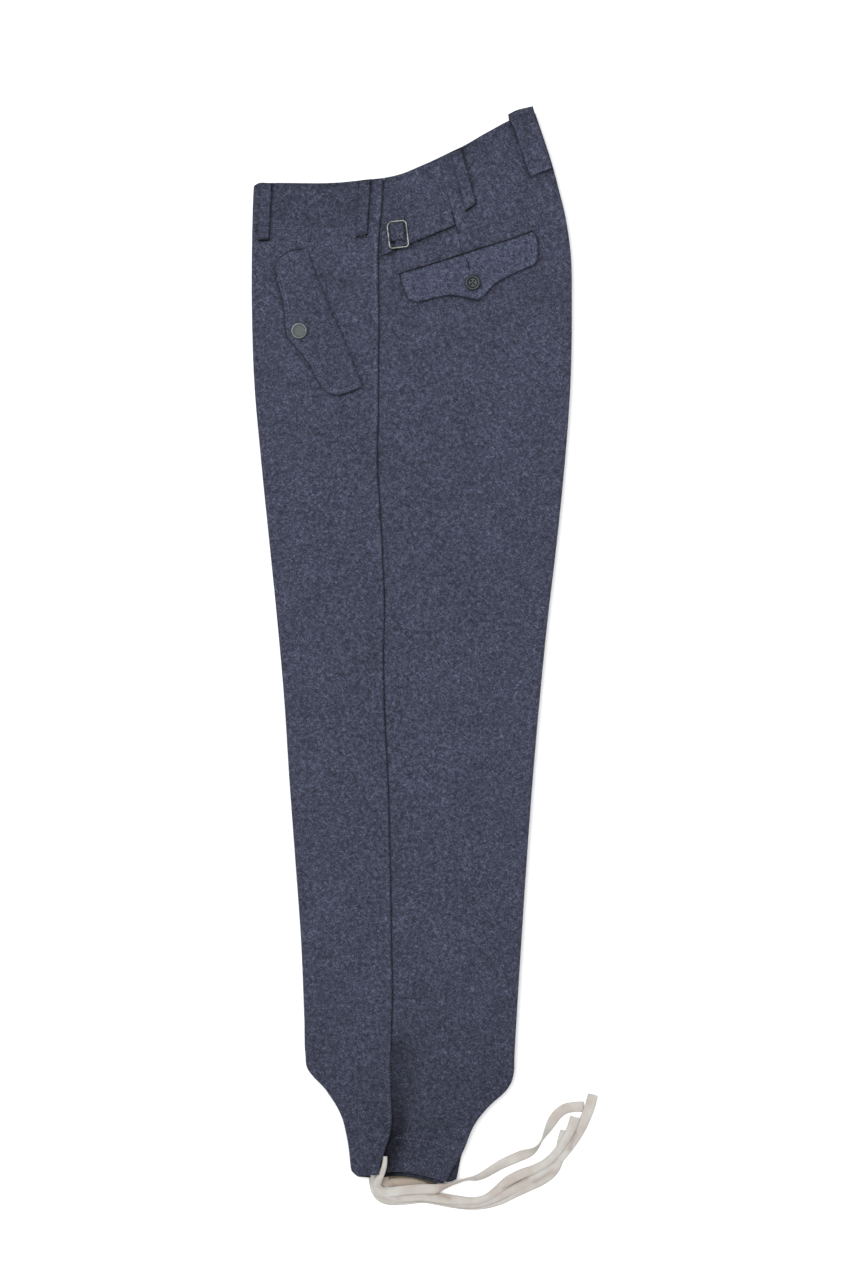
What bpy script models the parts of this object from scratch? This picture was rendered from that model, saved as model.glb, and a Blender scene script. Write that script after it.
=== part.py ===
"""Wool military trousers, folded along the creases and laid flat with the left leg on top.

X runs from the front crease to the centre-back fold, Y from the hem to the waist and Z up from the surface
below. Sizes and tables are in millimetres, and MM turns them to metres when a mesh is made. A point on the
leg is found from its share of the way across, 0 at the side seam and 1 at the crease, and from its row's
height at the seam.
"""

import math

import bmesh
import bpy
import numpy as np

MM = 0.001
FRONT, BACK = -1, 1

# Where the tables' own origin lies in the finished model, so that the cloth's box is centred on X and Y.
SHIFT_X = -0.15
SHIFT_Y = 2.0

WALL = 2.0  # fulled wool cloth
SEAM_GAP = 0.3  # between pieces that meet at a seam
LIE_GAP = 0.5  # under a piece that lies on another
CORE_GAP = 0.6  # between the panels and the layers folded under them
FOLD_RADIUS = 3.0  # outside of a pressed fold
UPPER_FOLD_Z = 9.4  # middle of the upper leg's folds
CROWN = 1.6  # how much the pile rises between its two creases
FULL_WIDTH = 335.0
UNDER_TURN = 2.5  # how far the cloth turns in under itself past a fold
EDGE_ROUND = 1.0  # radius of a cut or turned cloth edge
EDGE_TURNS = (0, 45, 90)  # where a rounded edge has its points, in degrees
SEAM_COLUMNS = (4.0, 9.0)  # columns of a panel's wall beside the side seam

WAIST = 489.8  # height of the side seam's two ends
HEM = -553.2
WAIST_BEND_FROM = 230.0  # rows bend as the waist does above this, and as the hem does below the other
HEM_BEND_FROM = -440.0
FACING_DEPTH = (44.0, 52.0)  # the waist facing ends between these depths
FACING_LIFT = 0.8

VENT_TOP = (-395.0, -420.0)  # the ankle vent opens over this stretch
LAP_START = (-425.0, -450.0)
LAP = 10.0  # how far the back goes in under the front at the vent
LAP_LEDGE = (11.5, 15.0)  # the layers below step down under the lap between these distances from the seam
VENT_STEP = 1.2  # each side's share of the step between front and back
FRONT_STEP_REACH = (13.0, 42.0)  # where that step fades out, from the seam
BACK_STEP_REACH = (4.0, 30.0)
VENT_CURL = (-490.0, -525.0)
CURL_LIFT = 1.8

FLAP_THICKNESS = 3.2
LOOP_THICKNESS = 2.2
STRAP_THICKNESS = 2.4
HEM_BAND_WIDTH = 4.2
HEM_BAND_FALL = 0.25  # how steeply the band falls away from the hem
LINING_THICKNESS = 0.9
LINING_TOP = 7.3  # middle height of the ankle lining between the legs, and how far it falls past the hem
LINING_FALL = 5.1

TAPE_WIDTH = 11.0
TAPE_THICKNESS = 0.8
TABLE_GAP = 0.1  # least height of a tape above the surface
TAPE_STEP = 7.0  # between the points that a tape's sides run through

BUTTON_SEGMENTS = 28
HOLE_RADIUS = 0.9
HOLE_OFFSET = 1.8  # of a thread hole from the button's middle, along x and along y

# Height, then x, of the front crease.
FRONT_CREASE = [
    (486, -165.3), (466, -166.3), (433, -167.2), (350, -167.5), (279, -165.2), (195, -158.0),
    (111, -149.5), (27, -141.0), (-57, -133.6), (-141, -128.2), (-225, -122.0), (-309, -116.0),
    (-393, -112.5), (-430, -111.3), (-443, -109.5), (-452, -103.2), (-458, -97.2), (-465, -90.6),
    (-471, -86.4), (-477, -82.2), (-484, -78.0), (-496, -72.5), (-509, -69.2), (-521, -66.8),
    (-533, -65.2), (-546, -63.8), (-554, -62.2),
]

# Height, then x, of the side seam, which wanders a little as pressed seams do.
SIDE_SEAM = [
    (490, -28.8), (457, -31.0), (426, -33.8), (347, -34.0), (290, -34.3), (245, -34.6), (207, -35.5),
    (182, -35.0), (157, -33.6), (132, -32.2), (107, -30.5), (81, -29.8), (56, -28.4), (31, -28.2),
    (0, -29.2), (-45, -28.8), (-95, -27.0), (-145, -24.3), (-196, -23.0), (-246, -21.8), (-322, -20.6),
    (-372, -19.8), (-404, -21.0), (-435, -22.0), (-473, -21.5), (-498, -20.7), (-512, -22.8),
    (-527, -27.6), (-540, -31.8), (-554, -34.2),
]

# Height, then x, of the centre-back fold above the ankle.
BACK_CREASE = [
    (559, 129.5), (534, 138.0), (508, 146.5), (483, 153.2), (450, 161.3), (416, 166.4), (350, 168.0),
    (279, 166.8), (237, 164.4), (195, 161.0), (111, 152.6), (27, 142.7), (-57, 134.3), (-141, 127.0),
    (-225, 120.8), (-309, 115.2), (-393, 110.0), (-430, 107.9), (-450, 106.9), (-458, 104.7),
    (-465, 100.5), (-471, 95.3), (-477, 88.0), (-484, 80.6), (-490, 75.3), (-496, 70.4), (-504, 65.2),
    (-515, 60.3), (-528, 55.4),
]
# The same below, for the leg on top and for the leg under it, whose ankle shows.
UPPER_BACK_ANKLE = [(-536, 51.0), (-548, 43.3), (-563, 36.0)]
LOWER_BACK_ANKLE = [(-536, 52.6), (-548, 50.1), (-563, 47.0)]

# x, then height, along the waist edge and along the hem.
WAIST_LINE = [
    (-165.3, 481.5), (-161, 484.3), (-150, 484.6), (-75, 485.0), (-43, 488.3), (-28.8, 489.8),
    (-8.7, 494.6), (5, 500.3), (24, 508.7), (41, 517.0), (56, 524.2), (72, 533.6), (87, 542.0),
    (102, 550.0), (129.5, 558.5),
]
HEM_LINE = [
    (-62.2, -549.6), (-59.5, -553.2), (-50, -554.5), (-34.2, -554.0), (-25.7, -552.4), (-7, -552.1),
    (13, -555.8), (30, -560.7), (36, -562.3),
]
LOWER_HEM_LINE = [
    (-62.2, -551.0), (-57, -556.2), (-50, -557.6), (-34.2, -557.2), (-7, -553.0), (13, -554.5),
    (30, -561.0), (38, -562.5), (47, -559.5),
]

# Forms folded under the panels: distance in from waist and hem, distance in from the fold, radius of the
# rim, height of the underside and height of the top.
UNDER_FORMS = {
    "under_layers": (2.5, 2.6, 0.7, 8.65, 10.15),
    "neck_form": (8.0, 7.5, 0.6, 5.75, 8.95),
    "lower_leg_form": (0.8, 0.4, 3.05, 0.0, 6.1),
}

# Soft swells over the pocket bags, the seat, the knee and the ankle facings: x, y, half width, half height
# and lift.
SWELLS = [
    (-95, 335, 58, 90, 0.7),
    (62, 350, 75, 85, 0.7),
    (15, 120, 100, 120, 0.5),
    (-72, -60, 45, 110, 0.4),
    (62, -190, 48, 120, 0.5),
    (2, -490, 55, 70, 1.0),
]

# Rows of the leg by their height at the side seam, closer where the outline turns.
ROWS = [
    484.0, 470.0, 445.8, 437.8, 410.0, 375.0, 335.0, 290.0, 245.0, 200.0, 150.0, 100.0, 50.0, 0.0,
    -50.0, -100.0, -150.0, -200.0, -250.0, -300.0, -350.0, -385.0, -405.0, -425.0, -438.0, -446.0,
    -453.0, -459.0, -465.0, -472.0, -480.0, -489.0, -500.0, -512.0, -525.0, -538.0, -547.0,
]
PANEL_SHARES = (0.3, 0.55, 0.8)

# The four sides of each pocket flap, x and y from corner to corner: top, right, bottom and left.
FRONT_FLAP = {
    "top": [(-142.6, 400.0), (-139.4, 404.9), (-131.9, 410.8), (-122.8, 414.5), (-110.0, 416.1)],
    "right": [(-110.0, 416.1), (-99.8, 389.3), (-81.5, 345.5), (-61.2, 297.3), (-51.6, 270.4)],
    "bottom": [(-93.4, 269.3), (-86.9, 264.0), (-76.2, 261.3), (-65.5, 264.0), (-51.6, 270.4)],
    "left": [
        (-142.6, 400.0), (-143.5, 392.6), (-141.1, 379.7), (-136.8, 365.9), (-134.0, 348.6),
        (-132.8, 331.5), (-130.9, 322.9), (-124.4, 314.9), (-113.7, 302.6), (-105.7, 290.7),
        (-98.8, 277.9), (-93.4, 269.3),
    ],
}
BACK_FLAP = {
    "top": [(-13.4, 389.6), (13.9, 397.8), (45.7, 407.9), (71.1, 416.3), (96.7, 423.9), (126.0, 434.5)],
    "right": [(126.0, 434.5), (131.0, 428.3), (132.9, 414.3), (132.2, 404.1), (127.2, 397.8)],
    "bottom": [
        (-3.8, 362.1), (3.7, 359.0), (15.2, 360.3), (28.0, 364.0), (44.5, 365.4), (58.4, 362.8),
        (69.9, 360.9), (77.4, 367.3), (83.9, 374.9), (97.9, 384.4), (113.1, 391.4), (127.2, 397.8),
    ],
    "left": [(-13.4, 389.6), (-11.5, 382.5), (-9.0, 372.3), (-3.8, 362.1)],
}

# Belt loops by their corners: top left, top right, bottom right, bottom left.
BELT_LOOPS = {
    "loop_front": [(-158.2, 484.2), (-145.6, 484.4), (-149.0, 425.8), (-161.5, 425.8)],
    "loop_side": [(-54.8, 486.8), (-42.2, 488.2), (-46.0, 429.9), (-58.2, 427.0)],
    "loop_back": [(40.9, 516.6), (52.2, 521.6), (68.2, 463.8), (56.6, 455.2)],
}
# The wider loop over the centre-back seam runs on over the waist edge.
CENTRE_BACK_LOOP = {
    "top": [(101.0, 556.4), (107.6, 560.2), (127.0, 565.6)],
    "right": [(127.0, 565.6), (131.0, 549.5), (139.6, 526.0), (148.6, 499.0)],
    "bottom": [(123.5, 489.6), (136.0, 494.2), (148.6, 499.0)],
    "left": [(101.0, 556.4), (102.4, 548.5), (106.3, 541.9), (110.1, 529.2), (115.2, 514.6), (123.5, 489.6)],
}
LOOP_OVERHANG_DROP = 0.07  # how fast that loop bends down past the edge, per millimetre of its reach

CINCH_STRAP = [(-20.2, 435.8), (41.7, 456.4), (46.5, 439.4), (-17.9, 412.8)]
CINCH_TAB = [(-32.0, 434.6), (-21.8, 437.2), (-19.4, 412.0), (-32.5, 406.8)]

BUCKLE_CENTRE = (-14.4, 430.0)
BUCKLE_SIZE = (19.9, 27.6)  # between the middles of opposite wires
BUCKLE_CORNER = 4.0
BUCKLE_TILT = math.radians(6.6)
BUCKLE_WIRE = 1.0  # radius of the wire
BUCKLE_LIFT = 0.5  # over the strap and the tab

# Buttons: centre, and the turned profile from the middle of the face round to the middle of the back.
FRONT_BUTTON_CENTRE = (-117.5, 330.0)
FRONT_BUTTON_PROFILE = [
    (4.6, 1.9), (5.8, 2.3), (6.6, 2.9), (7.4, 3.1), (8.2, 2.8), (8.5, 2.0), (8.2, 1.1), (7.0, 0.3),
    (3.0, 0.0),
]
BACK_BUTTON_CENTRE = (64.2, 380.2)
BACK_BUTTON_PROFILE = [
    (4.4, 1.9), (5.0, 2.4), (5.8, 3.0), (6.8, 3.1), (7.8, 2.7), (8.4, 1.9), (8.3, 1.2), (7.2, 0.4),
    (3.0, 0.0),
]

# Tape routes: x, y, height of the middle, and how far the tape stands up on its edge in degrees.
TAPE_ROUTES = {
    # Lowest. It leaves the lower leg's hem and bulges out before its end.
    "tie_tape_d": [
        (-39.8, -558.0, 2.3, 0), (-39.8, -561.4, 1.2, 0), (-39.3, -567.5, 0.6, 0), (-37.2, -574.3, 0.6, 0),
        (-31.6, -580.8, 0.6, 0), (-23.2, -583.6, 0.6, 0), (-12.0, -583.2, 0.6, 0), (-0.3, -581.9, 0.6, 0),
        (11.3, -580.8, 0.6, 0), (26.0, -582.8, 0.6, 0), (40.7, -585.6, 0.6, 0), (58.5, -587.8, 0.6, 0),
        (76.4, -587.1, 0.6, 0), (92.1, -582.9, 0.6, 0), (107.9, -575.9, 0.6, 0), (124.6, -568.6, 0.6, 0),
        (139.4, -561.5, 0.6, 0), (148.9, -553.6, 0.6, 0), (153.9, -544.0, 0.6, 0), (156.3, -532.0, 0.6, 0),
        (158.3, -520.3, 0.6, 0), (161.4, -510.3, 0.6, 0),
    ],
    # Second. It reaches furthest, and its end crosses the end of the vent's tape.
    "tie_tape_a": [
        (-39.8, -558.0, 4.0, 0), (-39.1, -561.2, 2.8, 0), (-38.4, -567.0, 1.8, 0), (-36.5, -573.0, 1.8, 0),
        (-31.4, -578.9, 1.8, 0), (-23.9, -582.1, 1.8, 0), (-14.1, -582.2, 1.8, 0), (-1.3, -580.6, 1.8, 0),
        (11.3, -579.3, 1.8, 0), (26.0, -581.1, 1.8, 0), (40.7, -583.8, 1.8, 0), (56.4, -586.2, 1.8, 0),
        (72.2, -585.4, 1.8, 0), (86.9, -580.7, 1.8, 0), (101.6, -573.8, 1.8, 0), (116.3, -567.0, 1.8, 0),
        (131.0, -558.6, 1.8, 0), (144.6, -548.6, 1.8, 0), (157.2, -536.0, 1.8, 0), (168.8, -521.3, 1.8, 0),
        (178.2, -506.1, 1.8, 0), (184.5, -491.9, 1.8, 0), (188.4, -480.5, 1.8, 0), (190.6, -472.0, 1.6, 0),
    ],
    # Third. It comes out from between the two legs.
    "tie_tape_c": [
        (-40.2, -550.0, 7.4, 0), (-39.7, -554.9, 7.1, 0), (-38.8, -560.4, 5.0, 0), (-37.7, -565.8, 3.2, 0),
        (-36.0, -571.2, 3.0, 0), (-31.2, -576.5, 3.0, 0), (-24.4, -579.7, 3.0, 0), (-16.0, -580.5, 3.0, 0),
        (-3.4, -579.1, 3.0, 0), (10.2, -578.4, 3.0, 0), (22.8, -579.6, 3.0, 0), (35.4, -581.5, 3.0, 0),
        (49.1, -583.4, 3.0, 0), (62.7, -584.2, 3.0, 0), (76.4, -581.7, 3.0, 0), (89.0, -573.8, 3.0, 0),
        (101.6, -562.8, 3.0, 0), (114.2, -556.0, 3.0, 0), (128.9, -550.7, 3.0, 0), (143.6, -542.3, 3.0, 0),
        (154.1, -531.3, 3.0, 0), (161.4, -520.3, 3.0, 0), (167.7, -508.7, 3.0, 0), (171.9, -495.6, 3.0, 0),
    ],
    # Top. It comes out of the vent over the hem, and stands on its edge in two places.
    "tie_tape_b": [
        (-27.6, -534.8, 13.2, 0), (-28.2, -542.4, 13.1, 0), (-29.8, -549.0, 12.9, 0),
        (-32.6, -555.6, 12.4, 0), (-35.2, -561.6, 9.4, 0), (-36.2, -566.5, 5.6, 0), (-34.4, -571.3, 4.2, 0),
        (-28.6, -574.1, 4.2, 0), (-20.2, -573.8, 4.2, 0), (-11.8, -572.8, 4.2, 0), (0.8, -571.4, 4.2, 0),
        (14.4, -570.7, 4.6, 4), (24.0, -570.4, 6.2, 6), (27.8, -570.0, 6.5, 20), (31.2, -569.3, 5.4, 42),
        (37.5, -567.6, 4.8, 57), (42.8, -565.6, 5.2, 66), (48.0, -563.6, 4.9, 61), (54.3, -561.5, 5.1, 69),
        (59.6, -560.4, 5.0, 66), (66.9, -559.9, 4.2, 47), (74.3, -557.4, 3.6, 36), (82.7, -552.6, 2.7, 25),
        (93.2, -546.3, 1.8, 13), (103.7, -541.2, 0.7, 0), (114.2, -536.8, 0.8, 2), (124.9, -532.2, 3.1, 30),
        (131.6, -527.1, 4.9, 62), (136.5, -520.0, 5.2, 75), (141.2, -511.6, 4.3, 50),
        (146.9, -501.6, 2.1, 18), (153.6, -492.6, 0.7, 0), (161.6, -487.1, 0.6, 0), (171.0, -485.1, 0.6, 0),
        (181.0, -484.8, 0.6, 0),
    ],
}

# Colours, roughness and metallic value of each material.
MATERIALS = {
    "wool_melton": ((0.071, 0.077, 0.108), 0.95, 0.0),
    "cotton_tape": ((0.60, 0.57, 0.53), 0.90, 0.0),
    "cotton_lining": ((0.45, 0.37, 0.28), 0.90, 0.0),
    "steel_wire": ((0.50, 0.50, 0.47), 0.35, 1.0),
    "painted_button_metal": ((0.14, 0.17, 0.165), 0.45, 0.3),
    "button_plastic": ((0.035, 0.045, 0.05), 0.30, 0.0),
}


def clear_scene():
    """Removes what the file holds before the model is made."""
    for old in list(bpy.data.objects):
        bpy.data.objects.remove(old, do_unlink=True)


def material(name):
    """The Principled material of this name, made on first use."""
    found = bpy.data.materials.get(name)
    if found:
        return found
    colour, roughness, metallic = MATERIALS[name]
    made = bpy.data.materials.new(name)
    made.use_nodes = True
    shader = made.node_tree.nodes["Principled BSDF"]
    shader.inputs["Base Color"].default_value = (*colour, 1.0)
    shader.inputs["Roughness"].default_value = roughness
    shader.inputs["Metallic"].default_value = metallic
    made.diffuse_color = (*colour, 1.0)
    return made


def smooth_value(known, values, at):
    """Cubic interpolation through values at rising places, flat beyond both ends."""
    known, values = np.asarray(known, float), np.asarray(values, float)
    slopes = np.gradient(values, known)
    at = np.clip(np.asarray(at, float), known[0], known[-1])
    cell = np.clip(np.searchsorted(known, at) - 1, 0, len(known) - 2)
    step = known[cell + 1] - known[cell]
    t = (at - known[cell]) / step
    start = values[cell] * (1 + 2 * t) * (1 - t) ** 2 + slopes[cell] * step * t * (1 - t) ** 2
    end = values[cell + 1] * t * t * (3 - 2 * t) + slopes[cell + 1] * step * t * t * (t - 1)
    return start + end


def read_table(table, at):
    """A table's second column at other values of its first one."""
    rows = np.array(sorted(table))
    return smooth_value(rows[:, 0], rows[:, 1], at)


def ramp(at, start, end):
    """0 at start and 1 at end, with a soft S between them."""
    t = np.clip((np.asarray(at, float) - start) / (end - start), 0, 1)
    return t * t * (3 - 2 * t)


def edge_share(distance, radius):
    """The half thickness of a round-edged sheet, from 0 on its edge to 1 a radius inside."""
    return np.sqrt(1 - (1 - np.clip(np.asarray(distance, float) / radius, 0, 1)) ** 2)


def crease_x(side, y, lower=False):
    """x of the leg's outer fold at a height, for the front or the back."""
    if side == FRONT:
        return read_table(FRONT_CREASE, y)
    return read_table(BACK_CREASE + (LOWER_BACK_ANKLE if lower else UPPER_BACK_ANKLE), y)


def row_bend(line, side, across, level):
    """How far a row's point lies above the seam's end, where the waist or hem line bends the row."""
    seam = read_table(SIDE_SEAM, level)
    rows = sorted(line)
    corner = rows[0][0] if side == FRONT else rows[-1][0]
    return read_table(line, seam + (corner - seam) * across) - level


def row_points(side, across, height, lower=False):
    """x and y of points on the leg's rows, which bend as the waist and the hem do near these."""
    hem_line = LOWER_HEM_LINE if lower else HEM_LINE

    def bend(share):
        at_waist = row_bend(WAIST_LINE, side, share, WAIST) * ramp(height, WAIST_BEND_FROM, WAIST)
        return at_waist + row_bend(hem_line, side, share, HEM) * ramp(-height, -HEM_BEND_FROM, -HEM)

    y = height + bend(across)
    seam = read_table(SIDE_SEAM, height)
    x = seam + (crease_x(side, height + bend(np.ones_like(across)), lower) - seam) * across
    return x, y


def row_span(side, height, lower=False):
    """How far a row runs from the side seam to the crease, and how slanted the crease is there."""
    end_x, end_y = row_points(side, np.ones_like(height), height, lower)
    lean = (crease_x(side, end_y + 1, lower) - crease_x(side, end_y - 1, lower)) / 2
    return np.abs(end_x - read_table(SIDE_SEAM, height)), np.sqrt(1 + lean**2)


def leg_surface(x, y):
    """Height of the upper leg's outer face: a low crown, swells and waist facing, falling at the folds."""
    left, right = crease_x(FRONT, y), crease_x(BACK, y)
    share = np.clip((x - left) / (right - left), 0, 1)
    middle = 4 * share * (1 - share)
    z = UPPER_FOLD_Z + FOLD_RADIUS + CROWN * (right - left) / FULL_WIDTH * middle
    for centre_x, centre_y, half_width, half_height, lift in SWELLS:
        far = ((x - centre_x) / half_width) ** 2 + ((y - centre_y) / half_height) ** 2
        z = z + lift * np.clip(1 - far, 0, 1) ** 2
    depth = read_table(WAIST_LINE, x) - y
    z = z + FACING_LIFT * (1 - ramp(depth, *FACING_DEPTH)) * ramp(middle, 0, 0.5)
    from_fold = np.clip(np.minimum(x - left, right - x), 0, FOLD_RADIUS)
    return z - FOLD_RADIUS + np.sqrt(FOLD_RADIUS**2 - (FOLD_RADIUS - from_fold) ** 2)


def vent_shift(side, from_seam, height):
    """How far the front edge stands up, or the back lies lower, beside the ankle vent."""
    opened = ramp(-height, -VENT_TOP[0], -VENT_TOP[1])
    if side == BACK:
        return -VENT_STEP * opened * (1 - ramp(from_seam, *BACK_STEP_REACH))
    curled = CURL_LIFT * ramp(-height, -VENT_CURL[0], -VENT_CURL[1])
    return (VENT_STEP * opened + curled) * (1 - ramp(from_seam, *FRONT_STEP_REACH))


def new_object(name, points, faces, finish, smooth=True):
    """An object from points in millimetres, its faces turned outwards."""
    mesh = bpy.data.meshes.new(name)
    place = np.array([SHIFT_X, SHIFT_Y, 0.0])
    mesh.from_pydata(((points + place) * MM).tolist(), [], faces)
    turned = bmesh.new()
    turned.from_mesh(mesh)
    bmesh.ops.recalc_face_normals(turned, faces=turned.faces)
    turned.to_mesh(mesh)
    turned.free()
    if smooth:
        mesh.shade_smooth()
        mesh.set_sharp_from_angle(angle=math.radians(50))
    made = bpy.data.objects.new(name, mesh)
    made.data.materials.append(material(finish))
    bpy.context.scene.collection.objects.link(made)
    return made


def grid_faces(index):
    """Four-sided faces over a grid of point numbers."""
    corners = (index[:-1, :-1], index[:-1, 1:], index[1:, 1:], index[1:, :-1])
    return np.stack(corners, axis=-1).reshape(-1, 4).tolist()


def closed_sheet(name, outer, inner, finish):
    """A closed body between two grids of points, rows by columns, which share the outer grid's border."""
    rows, columns = outer.shape[:2]
    outer_index = np.arange(rows * columns).reshape(rows, columns)
    inner_index = outer_index.copy()
    inside = rows * columns + np.arange((rows - 2) * (columns - 2))
    inner_index[1:-1, 1:-1] = inside.reshape(rows - 2, columns - 2)
    points = np.concatenate([outer.reshape(-1, 3), inner[1:-1, 1:-1].reshape(-1, 3)])
    return new_object(name, points, grid_faces(outer_index) + grid_faces(inner_index[:, ::-1]), finish)


def end_rows(first, last, rows, radius):
    """Row heights with extra ones close to both ends, where the sheet's edge is rounded."""
    close = radius * (1 - np.cos(np.radians(EDGE_TURNS)))
    between = [row for row in rows if last + radius * 1.5 < row < first - radius * 1.5]
    return np.concatenate([first - close, between, (last + close)[::-1]])


def leg_panel(name, side):
    """The upper leg's front or back: a wall from the side seam over the leg and round its fold.

    The wall is its middle surface, moved half its thickness each way along its normal, and less at its edges.
    """
    height = end_rows(WAIST, HEM, ROWS, EDGE_ROUND)[:, None]
    span, slant = row_span(side, height)
    flat = span - FOLD_RADIUS * slant
    lap = LAP * ramp(-height, -LAP_START[0], -LAP_START[1]) if side == BACK else 0 * height
    first = SEAM_GAP / 2 - lap
    beside = [0 * height + distance for distance in SEAM_COLUMNS]
    near = [first, first + 0.3 * EDGE_ROUND, first + EDGE_ROUND, *beside]
    shares = [beside[-1] + (flat - beside[-1]) * share for share in PANEL_SHARES]
    lying = np.concatenate([*near, *shares, flat], axis=1)
    turn = np.radians([60, 30, 0, -30, -60, -90])
    middle_radius = FOLD_RADIUS - WALL / 2
    folded = flat + middle_radius * slant * np.cos(turn)
    from_seam = np.concatenate([lying, folded, flat - UNDER_TURN + EDGE_ROUND, flat - UNDER_TURN], axis=1)

    x, y = row_points(side, from_seam / span, height)
    normal_z = np.concatenate([np.ones(lying.shape[1]), np.sin(turn), [-1, -1]])
    normal_x = np.concatenate([np.zeros(lying.shape[1]), np.cos(turn), [0, 0]])[None, :] * slant * side
    top = leg_surface(x, y) + vent_shift(side, from_seam, height) - WALL / 2
    z = np.where(normal_x == 0, top, UPPER_FOLD_Z + middle_radius * normal_z[None, :])
    z[:, -2:] = UPPER_FOLD_Z - middle_radius
    z[:, lying.shape[1] - 1] = UPPER_FOLD_Z + middle_radius
    across_edge = np.minimum(from_seam - first, EDGE_ROUND)
    across_edge[:, -1] = 0
    from_ends = np.minimum(height[0] - height, height - height[-1])
    half = WALL / 2 * edge_share(np.minimum(across_edge, from_ends), EDGE_ROUND)

    middle = np.stack([x, y, z], axis=-1)
    normal = np.stack([normal_x, 0 * normal_x, 0 * normal_x + normal_z], axis=-1) * half[..., None]
    return closed_sheet(name, middle + normal, middle - normal, "wool_melton")


def leg_form(name, lower=False, top_height=None):
    """A flat form across both halves of a leg, with a rounded rim, as a body between two heights."""
    inset_ends, edge_inset, radius, low, high = UNDER_FORMS[name]
    height = end_rows(WAIST - inset_ends, HEM + inset_ends, ROWS, radius)[:, None]
    parts = []
    for side in (FRONT, BACK):
        span, slant = row_span(side, height, lower)
        end = span - edge_inset * slant
        rim = [end - radius * slant * (1 - math.cos(math.radians(a))) for a in EDGE_TURNS]
        ledge_foot, ledge = (0 * height + distance for distance in LAP_LEDGE)
        between = [ledge + (rim[2] - ledge) * share for share in (0.75, 0.4)]
        columns = np.concatenate([*rim, *between, ledge, ledge_foot], axis=1)
        x, y = row_points(side, columns / span, height, lower)
        inside = edge_share((end - columns) / slant, radius)
        parts.append((x, y, columns, inside))
    (xf, yf, df, ef), (xb, yb, db, eb) = parts
    seam_x, seam_y = row_points(BACK, 0 * height, height, lower)
    x = np.concatenate([xf, seam_x, xb[:, ::-1]], axis=1)
    y = np.concatenate([yf, seam_y, yb[:, ::-1]], axis=1)
    signed = np.concatenate([-df, 0 * height, db[:, ::-1]], axis=1)
    inside = np.concatenate([ef, 1 + 0 * height, eb[:, ::-1]], axis=1)
    from_ends = np.minimum(height[0] - height, height - height[-1])
    inside = np.minimum(inside, edge_share(from_ends, radius))
    top = high + 0 * x if top_height is None else top_height(x, y, signed, height)
    middle = (low + high) / 2
    outer = np.stack([x, y, middle + (top - middle) * inside], axis=-1)
    inner = np.stack([x, y, middle + (low - middle) * inside], axis=-1)
    return closed_sheet(name, outer, inner, "wool_melton")


def core_top(x, y, from_seam, height):
    """The upper leg's inner layers reach up to just under its front and back panels."""
    lap = 1 - ramp(-from_seam, *LAP_LEDGE)
    drop = np.where(from_seam < 0, vent_shift(BACK, 0 * x, height) * lap, vent_shift(BACK, from_seam, height))
    return leg_surface(x, y) + drop - WALL - CORE_GAP


def under_layers():
    """All that lies folded under the two panels, as one solid: the inner layers and the lower leg."""
    core = leg_form("under_layers", top_height=core_top)
    neck = leg_form("neck_form")
    lower_leg = leg_form("lower_leg_form", lower=True)
    for form in (neck, lower_leg):
        form.hide_render = True
        form.display_type = "WIRE"
        joined = core.modifiers.new("joined_" + form.name, "BOOLEAN")
        joined.operation = "UNION"
        joined.object = form
    return core


def curve_through(knots, shares):
    """Points at shares of the way along a smooth curve through knots."""
    knots = np.asarray(knots, float)
    steps = np.linalg.norm(np.diff(knots[:, :2], axis=0), axis=1)
    way = np.concatenate([[0], np.cumsum(steps)]) / steps.sum()
    return np.stack([smooth_value(way, column, shares) for column in knots.T], axis=-1)


def length_of(knots):
    """Length of the straight lines through knots."""
    return np.linalg.norm(np.diff(np.asarray(knots, float)[:, :2], axis=0), axis=1).sum()


def edge_stations(length, step, radius):
    """Shares of the way over a piece: three at each rounded edge, others about a step apart between them."""
    close = radius * (1 - np.cos(np.radians(EDGE_TURNS)))
    count = max(2, round((length - 2 * radius) / step) + 1)
    between = np.linspace(radius, length - radius, count)[1:-1]
    return np.concatenate([close, between, (length - close)[::-1]]) / length


def patch(sides, step, radius):
    """A grid over a four-sided outline, blended from its sides, and its share of the thickness."""
    width = (length_of(sides["top"]) + length_of(sides["bottom"])) / 2
    depth = (length_of(sides["left"]) + length_of(sides["right"])) / 2
    across, along = edge_stations(width, step, radius), edge_stations(depth, step, radius)
    top, bottom = (curve_through(sides[side], across)[None, :, :] for side in ("top", "bottom"))
    left, right = (curve_through(sides[side], along)[:, None, :] for side in ("left", "right"))
    s, t = across[None, :, None], along[:, None, None]
    top_corners = (1 - s) * top[:, :1] + s * top[:, -1:]
    bottom_corners = (1 - s) * bottom[:, :1] + s * bottom[:, -1:]
    corners = (1 - t) * top_corners + t * bottom_corners
    grid = (1 - t) * top + t * bottom + (1 - s) * left + s * right - corners
    from_side = np.minimum(across, 1 - across)[None, :] * width
    from_end = np.minimum(along, 1 - along)[:, None] * depth
    return grid[..., 0], grid[..., 1], edge_share(np.minimum(from_side, from_end), radius)


def straight_sides(corners):
    """The four sides of a piece with straight edges, from its corners."""
    top_left, top_right, bottom_right, bottom_left = corners
    return {
        "top": [top_left, top_right],
        "right": [top_right, bottom_right],
        "bottom": [bottom_left, bottom_right],
        "left": [top_left, bottom_left],
    }


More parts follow.
